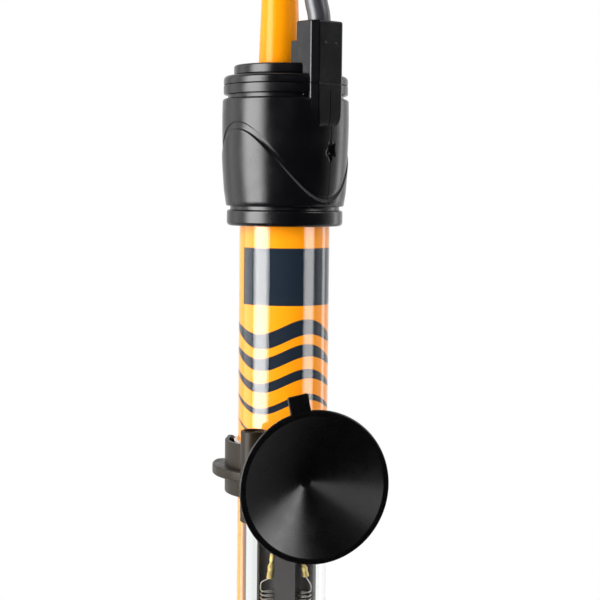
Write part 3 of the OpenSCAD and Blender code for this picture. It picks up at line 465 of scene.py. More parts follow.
def rod(route, radius, sides=10):
    """A round rod along a route"""
    route = [Vector(p) for p in route]
    last = len(route) - 1
    ways = [(route[min(i + 1, last)] - route[max(i - 1, 0)]).normalized() for i in range(last + 1)]
    side = ways[0].orthogonal().normalized()
    rings = []
    for p, way in zip(route, ways):
        side = (side - side.dot(way) * way).normalized()
        other = way.cross(side)
        rings.append([tuple(p + radius * (math.cos(a) * side + math.sin(a) * other))
                      for a in (2 * math.pi * k / sides for k in range(sides))])
    return stack(rings)


def piece(name, shape, body, finish, replaces=(), place=None, sharp=34, wrap=False):
    """Makes a mesh in metres from a shape in millimetres, with its place in the mesh"""
    if isinstance(shape, bpy.types.Mesh):
        mesh = shape
        mesh.name = name
    else:
        mesh = bpy.data.meshes.new(name)
        mesh.from_pydata(shape[0], [], shape[1])
    mesh.transform(Matrix.Scale(MM, 4) @ (place or Matrix.Identity(4)))
    bm = bmesh.new()
    bm.from_mesh(mesh)
    bmesh.ops.remove_doubles(bm, verts=bm.verts, dist=1e-7)
    bmesh.ops.recalc_face_normals(bm, faces=bm.faces)
    if not bm.faces:
        raise RuntimeError(f"{name} has no faces")
    bm.to_mesh(mesh)
    bm.free()
    mesh.shade_smooth()
    mesh.set_sharp_from_angle(angle=math.radians(sharp))
    if wrap:
        wrap_round(mesh)
    mesh.materials.clear()
    mesh.materials.append(FINISHES[finish])
    obj = bpy.data.objects.new(name, mesh)
    bpy.context.scene.collection.objects.link(obj)
    even_normals(obj)
    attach(obj, body)
    if replaces:
        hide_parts(*replaces)
    return obj


def even_normals(obj):
    """Lets the large faces rule the shading, so that flats stay flat up to their rounded rims"""
    modifier = obj.modifiers.new("normals", "WEIGHTED_NORMAL")
    modifier.keep_sharp = True
    graph = bpy.context.evaluated_depsgraph_get()
    graph.update()
    name, old = obj.name, obj.data
    obj.data = bpy.data.meshes.new_from_object(obj.evaluated_get(graph), depsgraph=graph,
                                               preserve_all_data_layers=True)
    obj.modifiers.clear()
    bpy.data.meshes.remove(old)
    obj.data.name = name


def wrap_round(mesh):
    """UV map of a film on the tube: the way round from the print's middle, and the height, both
    in UV_UNIT"""
    layer = mesh.uv_layers.new(name="wrap")
    for face in mesh.polygons:
        c = face.center
        middle = math.atan2(c.x, AXIS_Y * MM - c.y)
        for loop in face.loop_indices:
            v = mesh.vertices[mesh.loops[loop].vertex_index].co
            a = math.atan2(v.x, AXIS_Y * MM - v.y)
            a += 2 * math.pi * round((middle - a) / (2 * math.pi))
            way = a - math.radians(LEAD_TURN)
            way -= 2 * math.pi * round((middle - math.radians(LEAD_TURN)) / (2 * math.pi))
            layer.data[loop].uv = (way * FILM_R / UV_UNIT, v.z / MM / UV_UNIT)


def cad_finish(node, finish):
    """Gives a carried-over CAD node its material"""
    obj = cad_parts[node]
    if not obj.material_slots:
        obj.data.materials.append(FINISHES[finish])
    for slot in obj.material_slots:
        slot.material = FINISHES[finish]


# ---- Geometry Nodes ----

def node_group(name, inputs):
    """A geometry tree with named inputs; returns the tree, its input node and their sockets"""
    tree = bpy.data.node_groups.new(name, "GeometryNodeTree")
    ids = {}
    for label, kind, default in inputs:
        item = tree.interface.new_socket(label, in_out="INPUT", socket_type=kind)
        if default is not None:
            item.default_value = default
        ids[label] = item.identifier
    tree.interface.new_socket("Geometry", in_out="OUTPUT", socket_type="NodeSocketGeometry")
    return tree, tree.nodes.new("NodeGroupInput"), ids


def baked(tree, ids, values, name):
    """Runs a geometry tree once and returns its mesh"""
    holder = bpy.data.objects.new(name, bpy.data.meshes.new(name))
    bpy.context.scene.collection.objects.link(holder)
    modifier = holder.modifiers.new("build", "NODES")
    modifier.node_group = tree
    for label, value in values.items():
        modifier[ids[label]] = value
    graph = bpy.context.evaluated_depsgraph_get()
    graph.update()
    mesh = bpy.data.meshes.new_from_object(holder.evaluated_get(graph))
    holder.modifiers.remove(modifier)
    bpy.data.objects.remove(holder)
    if not mesh.polygons:
        raise RuntimeError(f"{name} came out empty")
    return mesh


def coil_tree():
    """A heating coil: a spiral with a round wire along it"""
    tree, given, ids = node_group("heating coil", [
        ("Radius", "NodeSocketFloat", 2.0), ("Height", "NodeSocketFloat", 111.0),
        ("Turns", "NodeSocketFloat", 96.0), ("Wire Radius", "NodeSocketFloat", 0.19),
        ("Material", "NodeSocketMaterial", None)])
    g = given.outputs
    spiral = add(tree, "GeometryNodeCurveSpiral", {
        "Resolution": 20, "Rotations": g["Turns"], "Start Radius": g["Radius"],
        "End Radius": g["Radius"], "Height": g["Height"]})
    wire = add(tree, "GeometryNodeCurvePrimitiveCircle", {"Resolution": 8,
                                                          "Radius": g["Wire Radius"]})
    skin = add(tree, "GeometryNodeCurveToMesh", {
        "Curve": spiral.outputs[0], "Profile Curve": wire.outputs[0], "Fill Caps": True})
    real = add(tree, "GeometryNodeRealizeInstances", {0: skin.outputs[0]})
    last = add(tree, "GeometryNodeSetMaterial", {"Geometry": real.outputs[0],
                                                 "Material": g["Material"]})
    add(tree, "NodeGroupOutput", {0: last.outputs[0]})
    return tree, ids


def rib_tree():
    """Rings of bead round the plug's strain relief, smaller towards the lead"""
    tree, given, ids = node_group("relief ribs", [
        ("Ribs", "NodeSocketInt", 6), ("Length", "NodeSocketFloat", 16.0),
        ("Foot Radius", "NodeSocketFloat", 4.8), ("Top Radius", "NodeSocketFloat", 4.0),
        ("Rib Radius", "NodeSocketFloat", 0.5), ("Material", "NodeSocketMaterial", None)])
    g = given.outputs
    line = add(tree, "GeometryNodeMeshLine", {"Count": g["Ribs"]}, mode="END_POINTS")
    tip = add(tree, "ShaderNodeCombineXYZ", {"Z": g["Length"]})
    tree.links.new(tip.outputs[0], line.inputs["Offset"])
    ring = add(tree, "GeometryNodeCurvePrimitiveCircle", {"Resolution": 48, "Radius": 1.0})
    share = add(tree, "ShaderNodeMath", {0: add(tree, "GeometryNodeInputIndex").outputs[0],
                                         1: add(tree, "ShaderNodeMath", {0: g["Ribs"], 1: 1.0},
                                                operation="SUBTRACT").outputs[0]},
                operation="DIVIDE")
    radius = add(tree, "ShaderNodeMapRange", {"Value": share.outputs[0],
                                              "To Min": g["Foot Radius"],
                                              "To Max": g["Top Radius"]})
    scale = add(tree, "ShaderNodeCombineXYZ", {"X": radius.outputs[0], "Y": radius.outputs[0],
                                               "Z": 1.0})
    rings = add(tree, "GeometryNodeInstanceOnPoints", {
        "Points": line.outputs[0], "Instance": ring.outputs[0], "Scale": scale.outputs[0]})
    loose = add(tree, "GeometryNodeRealizeInstances", {0: rings.outputs[0]})
    bead = add(tree, "GeometryNodeCurvePrimitiveCircle", {"Resolution": 10,
                                                          "Radius": g["Rib Radius"]})
    skin = add(tree, "GeometryNodeCurveToMesh", {"Curve": loose.outputs[0],
                                                 "Profile Curve": bead.outputs[0]})
    real = add(tree, "GeometryNodeRealizeInstances", {0: skin.outputs[0]})
    last = add(tree, "GeometryNodeSetMaterial", {"Geometry": real.outputs[0],
                                                 "Material": g["Material"]})
    add(tree, "NodeGroupOutput", {0: last.outputs[0]})
    return tree, ids


# ---- The mains lead, its hank and its plug ----

# Points in the lead's own directions: n across the hank's layers, u away from the wall, z up.
# It leaves the cable block, bows over the head and drops into the hank; the tail leads to the plug
LEAD_IN = (8.80, -11.31)
LEAD = [(*LEAD_IN, 112), (*LEAD_IN, 123), (7.9, -11.3, 128), (6.9, -11.3, 134),
        (4.8, -11.1, 146), (2.2, -7.9, 158.5), (0, 1.4, 168), (-1.6, 14.2, 171.5),
        (-2.6, 27, 168), (-3.2, 36.3, 158.5), (-3.4, 39.7, 146), (-3.45, 38.4, 137),
        (-3.45, 34.5, 127), (-3.45, 29, 116), (-3.45, 25, 106), (-3.45, 23.5, 96.4),
        (-3.45, 23.5, 90.2)]
TAIL = [(3.45, 23.5, -30.2), (3.45, 23.5, -36.4), (3.45, 24.5, -43), (3.45, 27, -50),
        (3.45, 29.5, -57), (3.45, 30.5, -63.8), (3.45, 30.5, -70)]
# The hank's middle, half width, the room of one turn and of one layer, and its runs up and down
HANK_U, HANK_W, HANK_STEP, HANK_LAYER = 51.3, 27.8, 7.3, 6.9
HANK_TOP, HANK_RUN, WAIST_IN, HANK_RUNS = 84.0, 108.0, 14.5, 7
WAIST_Z = HANK_TOP - HANK_RUN / 2
TAIL_N, TAIL_U, PLUG_Z = 3.45, 30.5, -70.0
PLUG_FACE, PIN_X = PLUG_Z - 58, 9.3
FOLD_POINTS, RUN_POINTS = 24, 24


def hank_half(h):
    """Half width of the hank at run h: smaller towards the middle run, in two layers"""
    return HANK_W - HANK_STEP / 2 * (h if h <= 3 else 6 - h)


def run_point(h, s):
    """A point of a straight run; s goes from -1 at the top to 1 at the foot"""
    front = h % 2 == 0
    across = 0 if h < 3 else 1 if h > 3 else 0.5 - s / 2
    drawn = WAIST_IN * (0.5 + 0.5 * math.cos(math.pi * s))
    return ((across - 0.5) * HANK_LAYER,
            HANK_U + (-1 if front else 1) * (hank_half(h) - drawn),
            HANK_TOP - HANK_RUN / 2 * (1 + s))


def fold_point(h, a):
    """A point of the fold after run h; a goes from 0 to 180 degrees"""
    front = h % 2 == 0
    r0, r1 = hank_half(h), hank_half(h + 1)
    r, side = (r0 + r1) / 2, 1 if front else -1
    mid = side * (r1 - r0) / 2
    across = 0 if h < 3 else 1
    return ((across - 0.5) * HANK_LAYER,
            HANK_U + mid - side * r * math.cos(math.radians(a)),
            (HANK_TOP - HANK_RUN if front else HANK_TOP) - side * r * math.sin(math.radians(a)))


def hank_route():
    """The hank's runs and folds, from its outer run inwards and out again in the second layer"""
    route = []
    for h in range(HANK_RUNS):
        way = 1 if h % 2 == 0 else -1
        route += [run_point(h, way * (2 * i / RUN_POINTS - 1))
                  for i in range(0 if h == 0 else 1, RUN_POINTS)]
        if h == HANK_RUNS - 1:
            route.append(run_point(h, 1))
        else:
            route += [fold_point(h, 180 * i / FOLD_POINTS) for i in range(FOLD_POINTS + 1)]
    return [Vector(p) for p in route]


def strap_shape():
    """A strap round the waist of the hank, with its buckle"""
    slack, half_thick, half_high, corner = 0.5, 0.6, 4.45, 3.2
    low = HANK_U - HANK_W + WAIST_IN - LEAD_D / 2 - slack
    high = HANK_U + hank_half(1) - WAIST_IN + LEAD_D / 2 + slack
    half_n, middle = HANK_LAYER / 2 + LEAD_D / 2 + slack, (low + high) / 2
    outline = rounded_outline((-half_n - half_thick, half_n + half_thick),
                              (low - half_thick, high + half_thick), corner, 8)
    path = []
    for i, p in enumerate(outline):
        a, b = outline[i - 1], outline[(i + 1) % len(outline)]
        way = Vector((b[0] - a[0], b[1] - a[1])).normalized()
        path.append(((*p, WAIST_Z), (way.y, -way.x)))
    strap = sweep_loop(path, rounded_outline((-0.55, 0.55), (-half_high, half_high), 0.5, 3))
    buckle = rounded_box((-half_n - 2.2, -half_n - 0.9), (middle - 3, middle + 3),
                         (WAIST_Z - 4.4, WAIST_Z + 4.4), 0.4)
    return joined(strap, buckle)


def oval(w, t, power, n=64):
    """A rounded outline: power 2 is an ellipse, higher is squarer"""
    out = []
    for i in range(n):
        a = 2 * math.pi * i / n
        c, s = math.cos(a), math.sin(a)
        out.append((w * math.copysign(abs(c) ** (2 / power), c),
                    t * math.copysign(abs(s) ** (2 / power), s)))
    return out


def plug_shape():
    """The plug's body with its grip ribs, and the boot round the lead"""
    # Height over the plug's face, half width, half thickness and squareness
    levels = [(0, 17.0, 6.2, 4), (0.35, 17.4, 6.6, 4),
              (0.9, 17.65, 6.85, 4), (13, 17.65, 6.85, 4), (18, 17.2, 6.75, 3.8),
              (24, 15.2, 6.45, 3.4), (29, 12.2, 6.0, 3), (33, 9.2, 5.5, 2.6),
              (36, 6.6, 5.2, 2.2), (37.5, 5.4, 4.9, 2)]
    body = stack([[(x, y, PLUG_FACE + z) for x, y in oval(w, t, power)]
                  for z, w, t, power in levels])
    foot, boot_r = PLUG_FACE + 34, 4.8
    boot = lathe([(0, foot), (boot_r, foot), (boot_r, foot + 3), (4.1, PLUG_Z - 3),
                  (3.95, PLUG_Z - 0.6), (3.5, PLUG_Z), (0, PLUG_Z)], 48)
    grips = [rounded_box((x - 0.45, x + 0.45), (y, y + 0.5), (PLUG_FACE + 4, PLUG_FACE + 16), 0.25)
             for x in (-12.5, -10.5, -8.5, 8.5, 10.5, 12.5) for y in (6.55, -7.05)]
    return joined(body, boot, *grips)


def pin_shape():
    """A pin of the plug, with a rounded tip"""
    r, tip = 2.0, PLUG_FACE - 19
    return lathe([(0, tip), (r - 1.1, tip + 0.1), (r - 0.4, tip + 0.8), (r, tip + 1.6),
                  (r, PLUG_FACE + 1), (0, PLUG_FACE + 1)], 40)


def pin_sleeve_shape():
    """The insulating sleeve on the upper half of a pin"""
    inner, outer, low = 1.8, 2.06, PLUG_FACE - 10
    return lathe([(inner, low), (outer - 0.06, low - 0.05), (outer, low + 0.1),
                  (outer, PLUG_FACE + 0.5), (inner, PLUG_FACE + 0.5)], 40, closed=True)


def lead_curve(route):
    """The lead as a round cord along its route, in metres"""
    data = bpy.data.curves.new("mains_lead", "CURVE")
    data.dimensions = "3D"
    data.bevel_depth = LEAD_D / 2 * MM
    data.bevel_resolution = 5
    data.use_fill_caps = True
    spline = data.splines.new("POLY")
    spline.points.add(len(route) - 1)
    for point, co in zip(spline.points, route):
        point.co = (*co, 1.0)
    spline.use_smooth = True
    data.materials.append(FINISHES["lead"])
    lead = bpy.data.objects.new("mains_lead", data)
    bpy.context.scene.collection.objects.link(lead)
    return lead


class HEATER_OT_lead(bpy.types.Operator):
    """Mains lead with its hank, tie and plug"""
    bl_idname = "heater.lead"
    bl_label = "Mains Lead and Plug"

    def execute(self, context):
        sizes = context.scene.heater_sizes
        place = at_axis(LEAD_TURN)
        route = smooth_route(LEAD)[:-1] + hank_route() + smooth_route(TAIL)[1:]
        route = [place @ p * MM for p in route]
        lead = lead_curve(route)
        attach(lead, "heater_body")
        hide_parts("power_lead", "lead_hank", "lead_tail")

        tie = piece("hank_strap", strap_shape(), "heater_body", "tie",
                    ["hank_tie"], place)
        at_plug = place @ Matrix.Translation((TAIL_N, TAIL_U, 0))
        plug = piece("plug_shell", plug_shape(), "heater_body", "plug",
                     ["plug_body"], at_plug)
        tree, ids = rib_tree()
        mesh = baked(tree, ids, {
            "Ribs": sizes.relief_ribs, "Length": 14.5, "Foot Radius": 4.65, "Top Radius": 4.15,
            "Rib Radius": sizes.relief_rib / MM, "Material": FINISHES["plug"]}, "relief_ribs")
        ribs = piece("relief_ribs", mesh, "heater_body", "plug",
                     place=at_plug @ Matrix.Translation((0, 0, PLUG_Z - 18.5)), sharp=60)
        metal = piece("plug_contacts", pair(pin_shape(), PIN_X), "heater_body", "pin",
                      ["plug_pins"], at_plug)
        sleeve = piece("pin_sleeves", pair(pin_sleeve_shape(), PIN_X), "heater_body", "plug",
                       place=at_plug)
        return {"FINISHED"}


# ---- Camera, lights and floor ----

class HEATER_OT_camera(bpy.types.Operator):
    """Camera level with the upper half of the heater"""
    bl_idname = "heater.camera"
    bl_label = "Camera"

    def execute(self, context):
        distance, height, pitch, roll = 433.6, 77.8, 4.05, 0.56
        data = bpy.data.cameras.new("camera")
        data.lens, data.sensor_width = 93.6, 36.0
        data.shift_x = 0.027
        data.clip_start, data.clip_end = 0.02, 20.0
        camera = bpy.data.objects.new("camera", data)
        a = math.radians(VIEW_TURN)
        camera.location = Vector((math.sin(a) * distance, AXIS_Y - math.cos(a) * distance,
                                  height)) * MM
        camera.rotation_euler = (Matrix.Rotation(a, 3, "Z")
                                 @ Matrix.Rotation(math.radians(90 - pitch), 3, "X")
                                 @ Matrix.Rotation(math.radians(roll), 3, "Z")).to_euler()
        context.scene.collection.objects.link(camera)
        context.scene.camera = camera
        return {"FINISHED"}


def softbox(name, azimuth, height, widths, tall, radiance, tilt=0.0, distance=0.7,
            diffuse=False, lit=None):
    """Area lights one behind the other that face the tube, so that the edges are soft. Angles are
    in degrees and lengths in metres; radiance 1 is white. They light either the matt colours or
    the gloss, and only the pieces of the collection lit, where one is given"""
    step = 0.01
    for i, width in enumerate(widths):
        reach = distance + step * i
        data = bpy.data.lights.new(name, "AREA")
        data.shape, data.size, data.size_y = "RECTANGLE", width, tall
        data.energy = radiance / len(widths) * math.pi * width * tall
        data.cycles.use_multiple_importance_sampling = not diffuse
        light = bpy.data.objects.new(name, data)
        a = math.radians(azimuth)
        spot = Vector((math.sin(a) * reach, AXIS_Y * MM - math.cos(a) * reach, height))
        aim = Vector((0, AXIS_Y * MM, height - math.tan(math.radians(tilt)) * reach))
        light.location = spot
        light.rotation_euler = (aim - spot).to_track_quat("-Z", "Y").to_euler()
        light.visible_camera = False
        light.visible_diffuse = diffuse
        light.visible_glossy = not diffuse
        light.visible_transmission = False
        light.light_linking.receiver_collection = lit
        bpy.context.scene.collection.objects.link(light)


def pieces_lit(name, pieces):
    """A collection of pieces that a light is kept to"""
    lit = bpy.data.collections.new(name)
    for each in pieces:
        lit.objects.link(bpy.data.objects[each])
    return lit


def studio_lights():
    """Strips and boxes that the gloss shows, and wide fills for the matt colours. The tube and the
    cups have strips of their own, because those would bleach the head"""
    tube = pieces_lit("tube only", ["glass_envelope"])
    cups = pieces_lit("cups only", ["upper_cup_skin", "lower_cup_skin"])
    softbox("left softbox", -77, 0.30, (0.62, 0.5, 0.38), 0.9, 18.0)
    softbox("left rim softbox", -120, 0.20, (0.4,), 0.7, 1.3)
    softbox("right softbox", 50, 0.16, (0.42, 0.35, 0.28), 0.58, 9.5, lit=tube)
    softbox("right rim softbox", 104, 0.10, (0.2, 0.12), 0.7, 3.0)
    softbox("left cup softbox", 58, 0.28, (0.56, 0.42), 0.3, 7.5, tilt=20, lit=cups)
    softbox("high softbox", 52, 0.48, (0.44, 0.3), 0.36, 6.5, tilt=25)
    softbox("right cup softbox", -34, 0.06, (0.4, 0.28), 0.36, 3.0, lit=cups)
    softbox("front softbox", -15, 0.33, (0.4,), 0.34, 0.3, tilt=20, distance=0.8)
    softbox("left fill", -70, 0.25, (0.8,), 1.0, 5.2, distance=0.9, diffuse=True)
    softbox("right fill", 80, 0.15, (0.5,), 0.8, 2.0, distance=0.9, diffuse=True)
    softbox("front fill", 0, 0.35, (1.6,), 1.2, 1.0, tilt=12, distance=1.0, diffuse=True)


def pale_floor():
    """A round pale floor just under the bottom cap, in metres"""
    floor_z, radii = -0.1745, (0.0, 0.15, 0.3, 0.45)
    mesh = bpy.data.meshes.new("floor")
    verts, faces = lathe([(r, 0.0) for r in radii], 96)
    mesh.from_pydata(verts, [], [tuple(reversed(face)) for face in faces])
    mesh.transform(Matrix.Translation((0, AXIS_Y * MM, floor_z)))
    if mesh.polygons[0].normal.z < 0:
        mesh.flip_normals()
    mat, tree = blank("pale floor")
    place = add(tree, "ShaderNodeTexCoord").outputs["Object"]
    slow = add(tree, "ShaderNodeTexNoise", {"Vector": place, "Scale": 30.0}).outputs["Fac"]
    tint = add(tree, "ShaderNodeMix", {"Factor": slow, 6: linear("#f3f3f2"),
                                       7: linear("#fafaf9")}, data_type="RGBA").outputs[2]
    body = add(tree, "ShaderNodeBsdfPrincipled", {"Base Color": tint, "Roughness": 0.7})
    add(tree, "ShaderNodeOutputMaterial", {"Surface": body.outputs[0]})
    mesh.materials.append(mat)
    floor = bpy.data.objects.new("floor", mesh)
    floor.visible_glossy = False
    bpy.context.scene.collection.objects.link(floor)
    return floor


def studio_world():
    """White for the camera; for all other rays it is white behind the heater and dims towards the
    room in front"""
    world = bpy.data.worlds.new("studio")
    world.use_nodes = True
    tree = world.node_tree
    tree.nodes.clear()
    ray = add(tree, "ShaderNodeLightPath").outputs
    way = add(tree, "ShaderNodeTexCoord").outputs["Generated"]
    a = math.radians(VIEW_TURN)
    back = add(tree, "ShaderNodeVectorMath", {0: way, 1: (-math.sin(a), math.cos(a), 0)},
               operation="DOT_PRODUCT").outputs["Value"]
    room = add(tree, "ShaderNodeMapRange", {"Value": back, "From Min": -0.35, "From Max": 0.3,
                                            "To Min": 0.03, "To Max": 1.0},
               interpolation_type="SMOOTHSTEP").outputs[0]
    level = add(tree, "ShaderNodeMix", {"Factor": ray["Is Camera Ray"], 2: room,
                                        3: 1.0}).outputs[0]
    sky = add(tree, "ShaderNodeBackground", {"Color": (1, 1, 1, 1), "Strength": level})
    add(tree, "ShaderNodeOutputWorld", {"Surface": sky.outputs[0]})
    return world


class HEATER_OT_stage(bpy.types.Operator):
    """Pale floor, white background and soft lights"""
    bl_idname = "heater.stage"
    bl_label = "Stage"

    def execute(self, context):
        context.scene.view_settings.view_transform = "Standard"
        pale_floor()
        context.scene.world = studio_world()
        studio_lights()
        return {"FINISHED"}


# ---- Glass tube and film ----

class HEATER_OT_tube(bpy.types.Operator):
    """Glass tube with its printed film"""
    bl_idname = "heater.tube"
    bl_label = "Glass Tube and Film"

    def execute(self, context):
        corner, wall, rim_z = 8.0, TUBE_R - BORE_R, TUBE_TOP - 0.6
        outer = [(0, TUBE_LOW)] + arc(TUBE_R - corner, TUBE_LOW + corner, corner, -90, 0, 14)
        inner = arc(TUBE_R - corner, TUBE_LOW + corner, corner - wall, 0, -90, 14)
        inner.append((0, TUBE_LOW + wall))
        sides = [(TUBE_R, z) for z in range(-155, 95, 10)]
        fire_polish = [(TUBE_R, rim_z), (TUBE_R - 0.18, TUBE_TOP - 0.18), (TUBE_R - 0.6, TUBE_TOP),
                       (BORE_R + 0.18, TUBE_TOP - 0.18), (BORE_R, rim_z)]
        piece("glass_envelope", lathe(outer + sides + fire_polish + inner, 192), "heater_body",
              "glass", ["glass_tube"], at_axis())

        # The film clings to the glass, so it reaches a hair into the bore and no air shows
        inside, outside = FILM_R - 0.25, BORE_R + 0.04
        film_low, film_top, tail_low = -10.0, 88.0, -150.0
        band = lathe([(inside, film_low), (outside, film_low), (outside, film_top),
                      (inside, film_top)], 192, closed=True)
        middle, half, steps = CORE_TURN - 176, 20.0, 24
        turns = [math.radians(middle - half + 2 * half * i / steps) for i in range(steps + 1)]
        ring = [(inside, a) for a in turns] + [(outside, a) for a in reversed(turns)]
        tail = stack([[(r * math.cos(a), r * math.sin(a), z) for r, a in ring]
                      for z in (tail_low, film_low - 0.02)])
        piece("printed_film", joined(band, tail), "heater_body", "film",
              ["colour_film"], at_axis(), wrap=True)
        return {"FINISHED"}


# ---- Head ----

def barrel_r(z):
    """Radius of the bulging barrel at a height"""
    foot_r, bulge, turn = 16.3, 1.2, 115
    t = min(1.0, max(0.0, (z - BARREL_Z) / (BARREL_TOP - BARREL_Z)))
    return foot_r + bulge * math.sin(math.radians(turn * t))


def head_shape(sizes):
    """The head sleeve: foot ring, barrel with its wave, and the lower half of the top ring"""
    rise, middle = sizes.wave_rise / MM, sizes.wave_height / MM
    band, step = sizes.wave_band / MM, sizes.wave_step / MM
    # The mould seam and the ragged mark of the gate: places in degrees, then sizes
    seam, seam_half, seam_deep = 3.6, 0.35, 0.09
    gate, gate_z, gate_w, gate_h, gate_deep, gate_steep = 4.3, 88.2, 1.6, 2.25, 1.3, 1.8
    points, point_out, point_turn = 5, 0.16, 0.6
    fine = [seam + d for d in (-1.0, -0.5, -0.3, 0.0, 0.3, 0.5, 1.0)]
    fine += [gate + 0.45 * i for i in range(-12, 13)]
    angles = around(288, fine)

    def wave(a):
        return middle - rise * math.cos(math.radians(2 * a))

    def wide(a):
        narrowest = 0.66
        return band * (narrowest + (1 - narrowest) * math.sin(math.radians(a)) ** 2)

    def skin(a, z, off):
        r = barrel_r(z) + off
        if abs(a - seam) < seam_half and z > BARREL_Z + 0.5:
            r -= seam_deep
        across = r * math.sin(math.radians(a - gate)) / gate_w if abs(a - gate) < 20 else 9
        high = (z - gate_z) / gate_h
        ragged = 1 + point_out * math.sin(points * math.atan2(high, across) + point_turn)
        d = math.hypot(across, high) * ragged
        if d < 1:
            r -= gate_deep * min(1.0, (1 - d) * gate_steep)
        return r, z

    def below(t):
        start, end = BARREL_Z + 0.35, -0.55
        return lambda a: skin(a, start + (wave(a) + end - start) * t, step * min(1.0, t * 3))

    def above(t):
        start, end = 0.16, BARREL_TOP - 0.76
        return lambda a: skin(a, wave(a) + wide(a) + start + (end - wave(a) - wide(a)) * t,
                              -step * 0.08 * (1 - t))

    foot_r, foot_top, foot_edge, foot_rim, neck_r = 16.05, FOOT_Z + 4.4, 1.1, 0.7, 15.15
    rows = [(SOCKET_R, FOOT_Z), (14.9, FOOT_Z)]
    rows += arc(foot_r - foot_edge, FOOT_Z + foot_edge, foot_edge, -90, 0, 5)
    rows += arc(foot_r - foot_rim, foot_top - foot_rim, foot_rim, 0, 90, 4)
    rows += [(neck_r + 0.05, foot_top), (neck_r, foot_top + 0.1), (neck_r, BARREL_Z - 0.1),
             (neck_r + 0.1, BARREL_Z)]
    rows += [(barrel_r(BARREL_Z) + d, BARREL_Z + up)
             for d, up in ((-0.45, 0), (-0.25, 0.05), (-0.1, 0.14), (-0.02, 0.25))]
    rows += [below(i / 16) for i in range(17)]
    # Height over the wave's line, and share of the step
    lower = [(-0.36, 0.98), (-0.2, 0.85), (-0.05, 0.55), (0.08, 0.1), (0.2, -0.4), (0.32, -0.75),
             (0.5, -0.92)]
    rows += [lambda a, dz=dz, s=s: skin(a, wave(a) + dz, step * s) for dz, s in lower]
    upper = [(-0.3, -1.15), (-0.12, -0.95), (0, -0.5), (0.08, -0.15)]
    rows += [lambda a, dz=dz, s=s: skin(a, wave(a) + wide(a) + dz, step * s) for dz, s in upper]
    rows += [above(i / 56) for i in range(57)]
    top, gap_r, seal_r, stop_z = barrel_r(BARREL_TOP), 15.95, 10.8, 101.4
    rows += [(top - 0.15, BARREL_TOP - 0.3), (top - 0.45, BARREL_TOP - 0.08),
             (top - 0.75, BARREL_TOP), (gap_r, BARREL_TOP), (gap_r, RING_Z)]
    rows += [(RING_R - 0.4, RING_Z), (RING_R - 0.13, RING_Z + 0.12), (RING_R, RING_Z + 0.42),
             (RING_R, SEAM_Z - 0.3), (RING_R - 0.1, SEAM_Z - 0.1), (RING_R - 0.3, SEAM_Z),
             (seal_r, SEAM_Z), (seal_r, stop_z), (SOCKET_R, stop_z)]
    return lathe(rows, angles, closed=True)


def block_outline(w, y, chamfer, back, edge=0.35, seam=()):
    """Outline of the cable block, front at -y, with rounded chamfers and, when its points are
    given, a seam groove down the front"""
    corners = [(-w, -back), (-w, -y + chamfer), (-w + chamfer, -y), (w - chamfer, -y),
               (w, -y + chamfer), (w, -back)]
    out, steps = [], 3
    for i, p in enumerate(corners):
        if i == 3:
            out += [(x, d - y) for x, d in seam]
        if i in (0, 5):
            out.append(p)
            continue
        b, a, c = Vector(p), Vector(corners[i - 1]), Vector(corners[i + 1])
        p0 = b + (a - b).normalized() * edge
        p1 = b + (c - b).normalized() * edge
        for t in (k / steps for k in range(steps + 1)):
            out.append(tuple(p0 * (1 - t) ** 2 + b * 2 * t * (1 - t) + p1 * t * t))
    return out


def block_foot():
    """The lower half of the cable block, which ends in a rounded nose on the barrel"""
    # Height, half width and depth
    levels = [(94.1, 3.2, 15.9), (94.25, 3.8, 16.5), (94.6, 4.4, 17.1), (95.1, 4.85, 17.5),
              (95.8, 5.2, 17.78), (96.6, 5.45, 17.92), (97.6, 5.62, 17.98),
              (99, 5.72, BLOCK_Y), (101, BLOCK_X, BLOCK_Y), (SEAM_Z - 0.25, BLOCK_X, BLOCK_Y),
              (SEAM_Z - 0.06, 5.68, 17.93), (SEAM_Z, 5.5, 17.75)]
    back, seam = 13.2, [(-0.16, 0), (-0.06, 0.12), (0.06, 0.12), (0.16, 0)]
    return stack([[(x, y, z) for x, y in block_outline(w, depth, min(1.6, w * 0.3), back,
                                                       seam=seam)]
                  for z, w, depth in levels])


def cap_shape():
    """The upper half of the top ring with the tower of the cable block on it"""
    plate_z, hole_r, lip_r, lip_z, edge = SEAM_Z + 1, 9.7, 11.0, 103.8, 1.2
    rows = [(hole_r, lip_z), (lip_r, lip_z), (lip_r, SEAM_Z), (RING_R - 0.3, SEAM_Z),
            (RING_R - 0.1, SEAM_Z + 0.1), (RING_R, SEAM_Z + 0.3)]
    rows += arc(RING_R - edge, CAP_Z - edge, edge, 0, 90, 6)
    rows += [(4, CAP_Z), (4, plate_z), (hole_r, plate_z)]
    ring = lathe(rows, 144, closed=True)
    hub = lathe([(0, plate_z), (4.1, plate_z), (4.1, CAP_Z), (0, CAP_Z)], 48)
    outline = block_outline(BLOCK_X, BLOCK_Y, 1.6, 10.7)
    levels = [(0.25, SEAM_Z), (0.07, SEAM_Z + 0.06), (0, SEAM_Z + 0.25)]
    levels += [(depth, BLOCK_Z - h) for depth, h in reversed(rim(0.55, 4))]
    tower = stack([[(x, y, z) for x, y in inset(outline, depth)] for depth, z in levels])
    back = rounded_box((-BLOCK_X, BLOCK_X), (-11.2, -8.2), (plate_z, CAP_Z + 9), 0.35)
    pip = moved(lathe([(0, -0.02)] + arc(0.28, 0, 0.1, -90, 90, 4) + [(0, 0.1)], 16),
                Matrix.Translation((0, -BLOCK_Y, 116.9))
                @ Matrix.Rotation(math.radians(90), 4, "X"))
    return joined(ring, hub, tower, back, pair(pip, 1.9))


